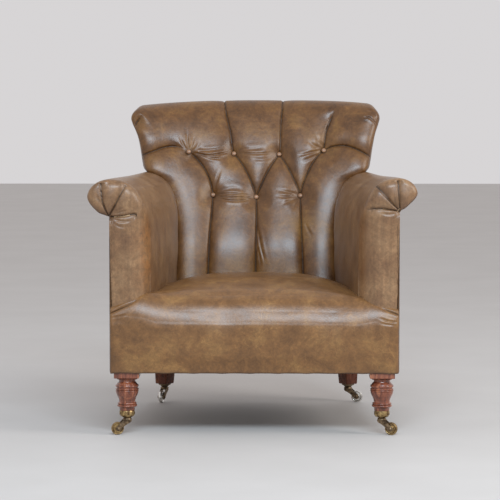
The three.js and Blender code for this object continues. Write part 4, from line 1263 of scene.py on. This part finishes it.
def horn(corner, heading):
    """The fork: a boss under the pintle and two cheeks that sweep down to the axle."""
    boss = [(.001, .0335), (.0088, .0335), (.0105, .0352), (.0112, .0372), (.011, .0392)]
    boss += [(.0098, .041), (.0085, .0422), (.008, .043), (.0039, .043), (.0039, .0475), (.001, .0478)]
    upper = [(.0085, .0385), (.0125, .0345), (.019, .0285), (.0262, .0232)]
    lower = [(.0185, .0118), (.012, .019), (.002, .0262), (-.007, .031), (-.0098, .0355)]
    eye = [(TRAIL + .0068 * cos(a), WHEEL_RADIUS + .0068 * sin(a)) for a in np.linspace(1.3, -2.5, 16)]
    outline = [*catmull(upper, 5), *eye, *catmull(lower, 5), (-.007, .0385)]
    parts = [lathe("boss", boss, 40), *(cheek(outline, side) for side in (-1, 1))]
    piece = join(f"{corner}_castor_horn", parts)
    piece.data.transform(castor_place(corner, heading))
    finish_piece(piece, DULL_BRASS, "brass", f"{corner}_castor_fork", body=f"{corner}_fork")


def on_axle(corner, heading):
    """From a turned shape's own axis to the castor's axle."""
    lay = Matrix.Translation((TRAIL, 0, WHEEL_RADIUS)) @ Matrix.Rotation(pi / 2, 4, "X")
    return castor_place(corner, heading) @ lay


def mirrored(half):
    """A turned outline that is the same on both sides of its middle, from its positive half."""
    return [(r, -y) for r, y in half] + half[::-1]


def axle(corner, heading):
    half = [(.0012, .0112), (.0028, .0108), (.0038, .0098), (.0039, .0087), (.0024, .0087)]
    piece = lathe(f"{corner}_castor_rivet", mirrored(half), 28)
    piece.data.transform(on_axle(corner, heading))
    finish_piece(piece, DULL_BRASS, "steel", f"{corner}_castor_axle", body=f"{corner}_fork")


def wheel(corner, heading):
    """A solid wheel with a rounded tread, a sunk web and a hub."""
    half = [(.0028, .005), (.0058, .005), (.0064, .0045), (.0068, .0032), (.0112, .0028)]
    half += [(.0122, .004), (.0132, .0046), (.0146, .0044), (.0154, .0034), (WHEEL_RADIUS, .002)]
    piece = lathe(f"{corner}_castor_roller", mirrored(half), 64, hollow=True)
    piece.data.transform(on_axle(corner, heading))
    look = BRASS if corner.startswith("front") else STEEL
    finish_piece(piece, look, "brass", f"{corner}_castor_wheel", body=f"{corner}_wheel")


# ---- Frame nodes that stay as they are ----

CARRIED = {
    BEECH: ["rail", "brace", "stump", "upright"],
    JUTE: ["canvas", "webbing"],
    STEEL: ["springs"],
    BLACK_CLOTH: ["dust_cover"],
}


def paint_frame():
    for name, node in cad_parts.items():
        for look, words in CARRIED.items():
            if any(word in name for word in words):
                paint(node, look)


# ---- Camera, floor and light ----


def camera():
    data = bpy.data.cameras.new("camera")
    data.lens = 175
    data.sensor_width = 36
    data.clip_end = 60
    rig = linked("camera", data)
    rig.location = (.0497, -6.3646, .8845)
    rig.rotation_euler = (radians(90 - 4.05), 0, radians(.58))
    bpy.context.scene.camera = rig


def area_light(name, at, towards, size, power, colour):
    data = bpy.data.lights.new(name, "AREA")
    data.shape = "RECTANGLE"
    data.size, data.size_y = size
    data.energy = power
    data.color = colour
    light = linked(name, data)
    light.location = at
    light.rotation_euler = (Vector(towards) - Vector(at)).to_track_quat("-Z", "Y").to_euler()


def studio():
    scene = bpy.context.scene
    world = bpy.data.worlds.new("studio")
    world.use_nodes = True
    background = world.node_tree.nodes["Background"]
    background.inputs["Color"].default_value = (1.0, .975, .985, 1)
    background.inputs["Strength"].default_value = .68
    scene.world = world
    scene.view_settings.view_transform = "Standard"
    area_light("window", (.45, -4.6, 3.95), (0, .05, .45), (3.4, 1.3), 246, (.73, .875, 1))
    area_light("side", (3.4, -1.6, 2.4), (0, 0, .45), (1.6, 1.6), 60, (1, .97, .93))

    floor = bpy.data.meshes.new("floor")
    floor.from_pydata([(x, y, 0) for x, y in square(14)], [], [(0, 1, 2, 3)])
    s = Shader("pale_floor")
    speckle = s.ramp(s.noise(3, detail=3), [(.3, (.53, .505, .485)), (.7, (.56, .535, .515))])
    floor.materials.append(s.set(Base_Color=speckle, Roughness=.7))
    linked("floor", floor)


camera()
studio()
back_leather()
buttons()
seat_leather()
outside_back_leather()
for side, sign in (("left", -1), ("right", 1)):
    arm_leather(side, sign)
    outside_arm(side, sign)
    front_leg(side, sign)
    rear_leg(side, sign)
for corner, heading in HEADINGS.items():
    holder(corner)
    horn(corner, heading)
    axle(corner, heading)
    wheel(corner, heading)
paint_frame()
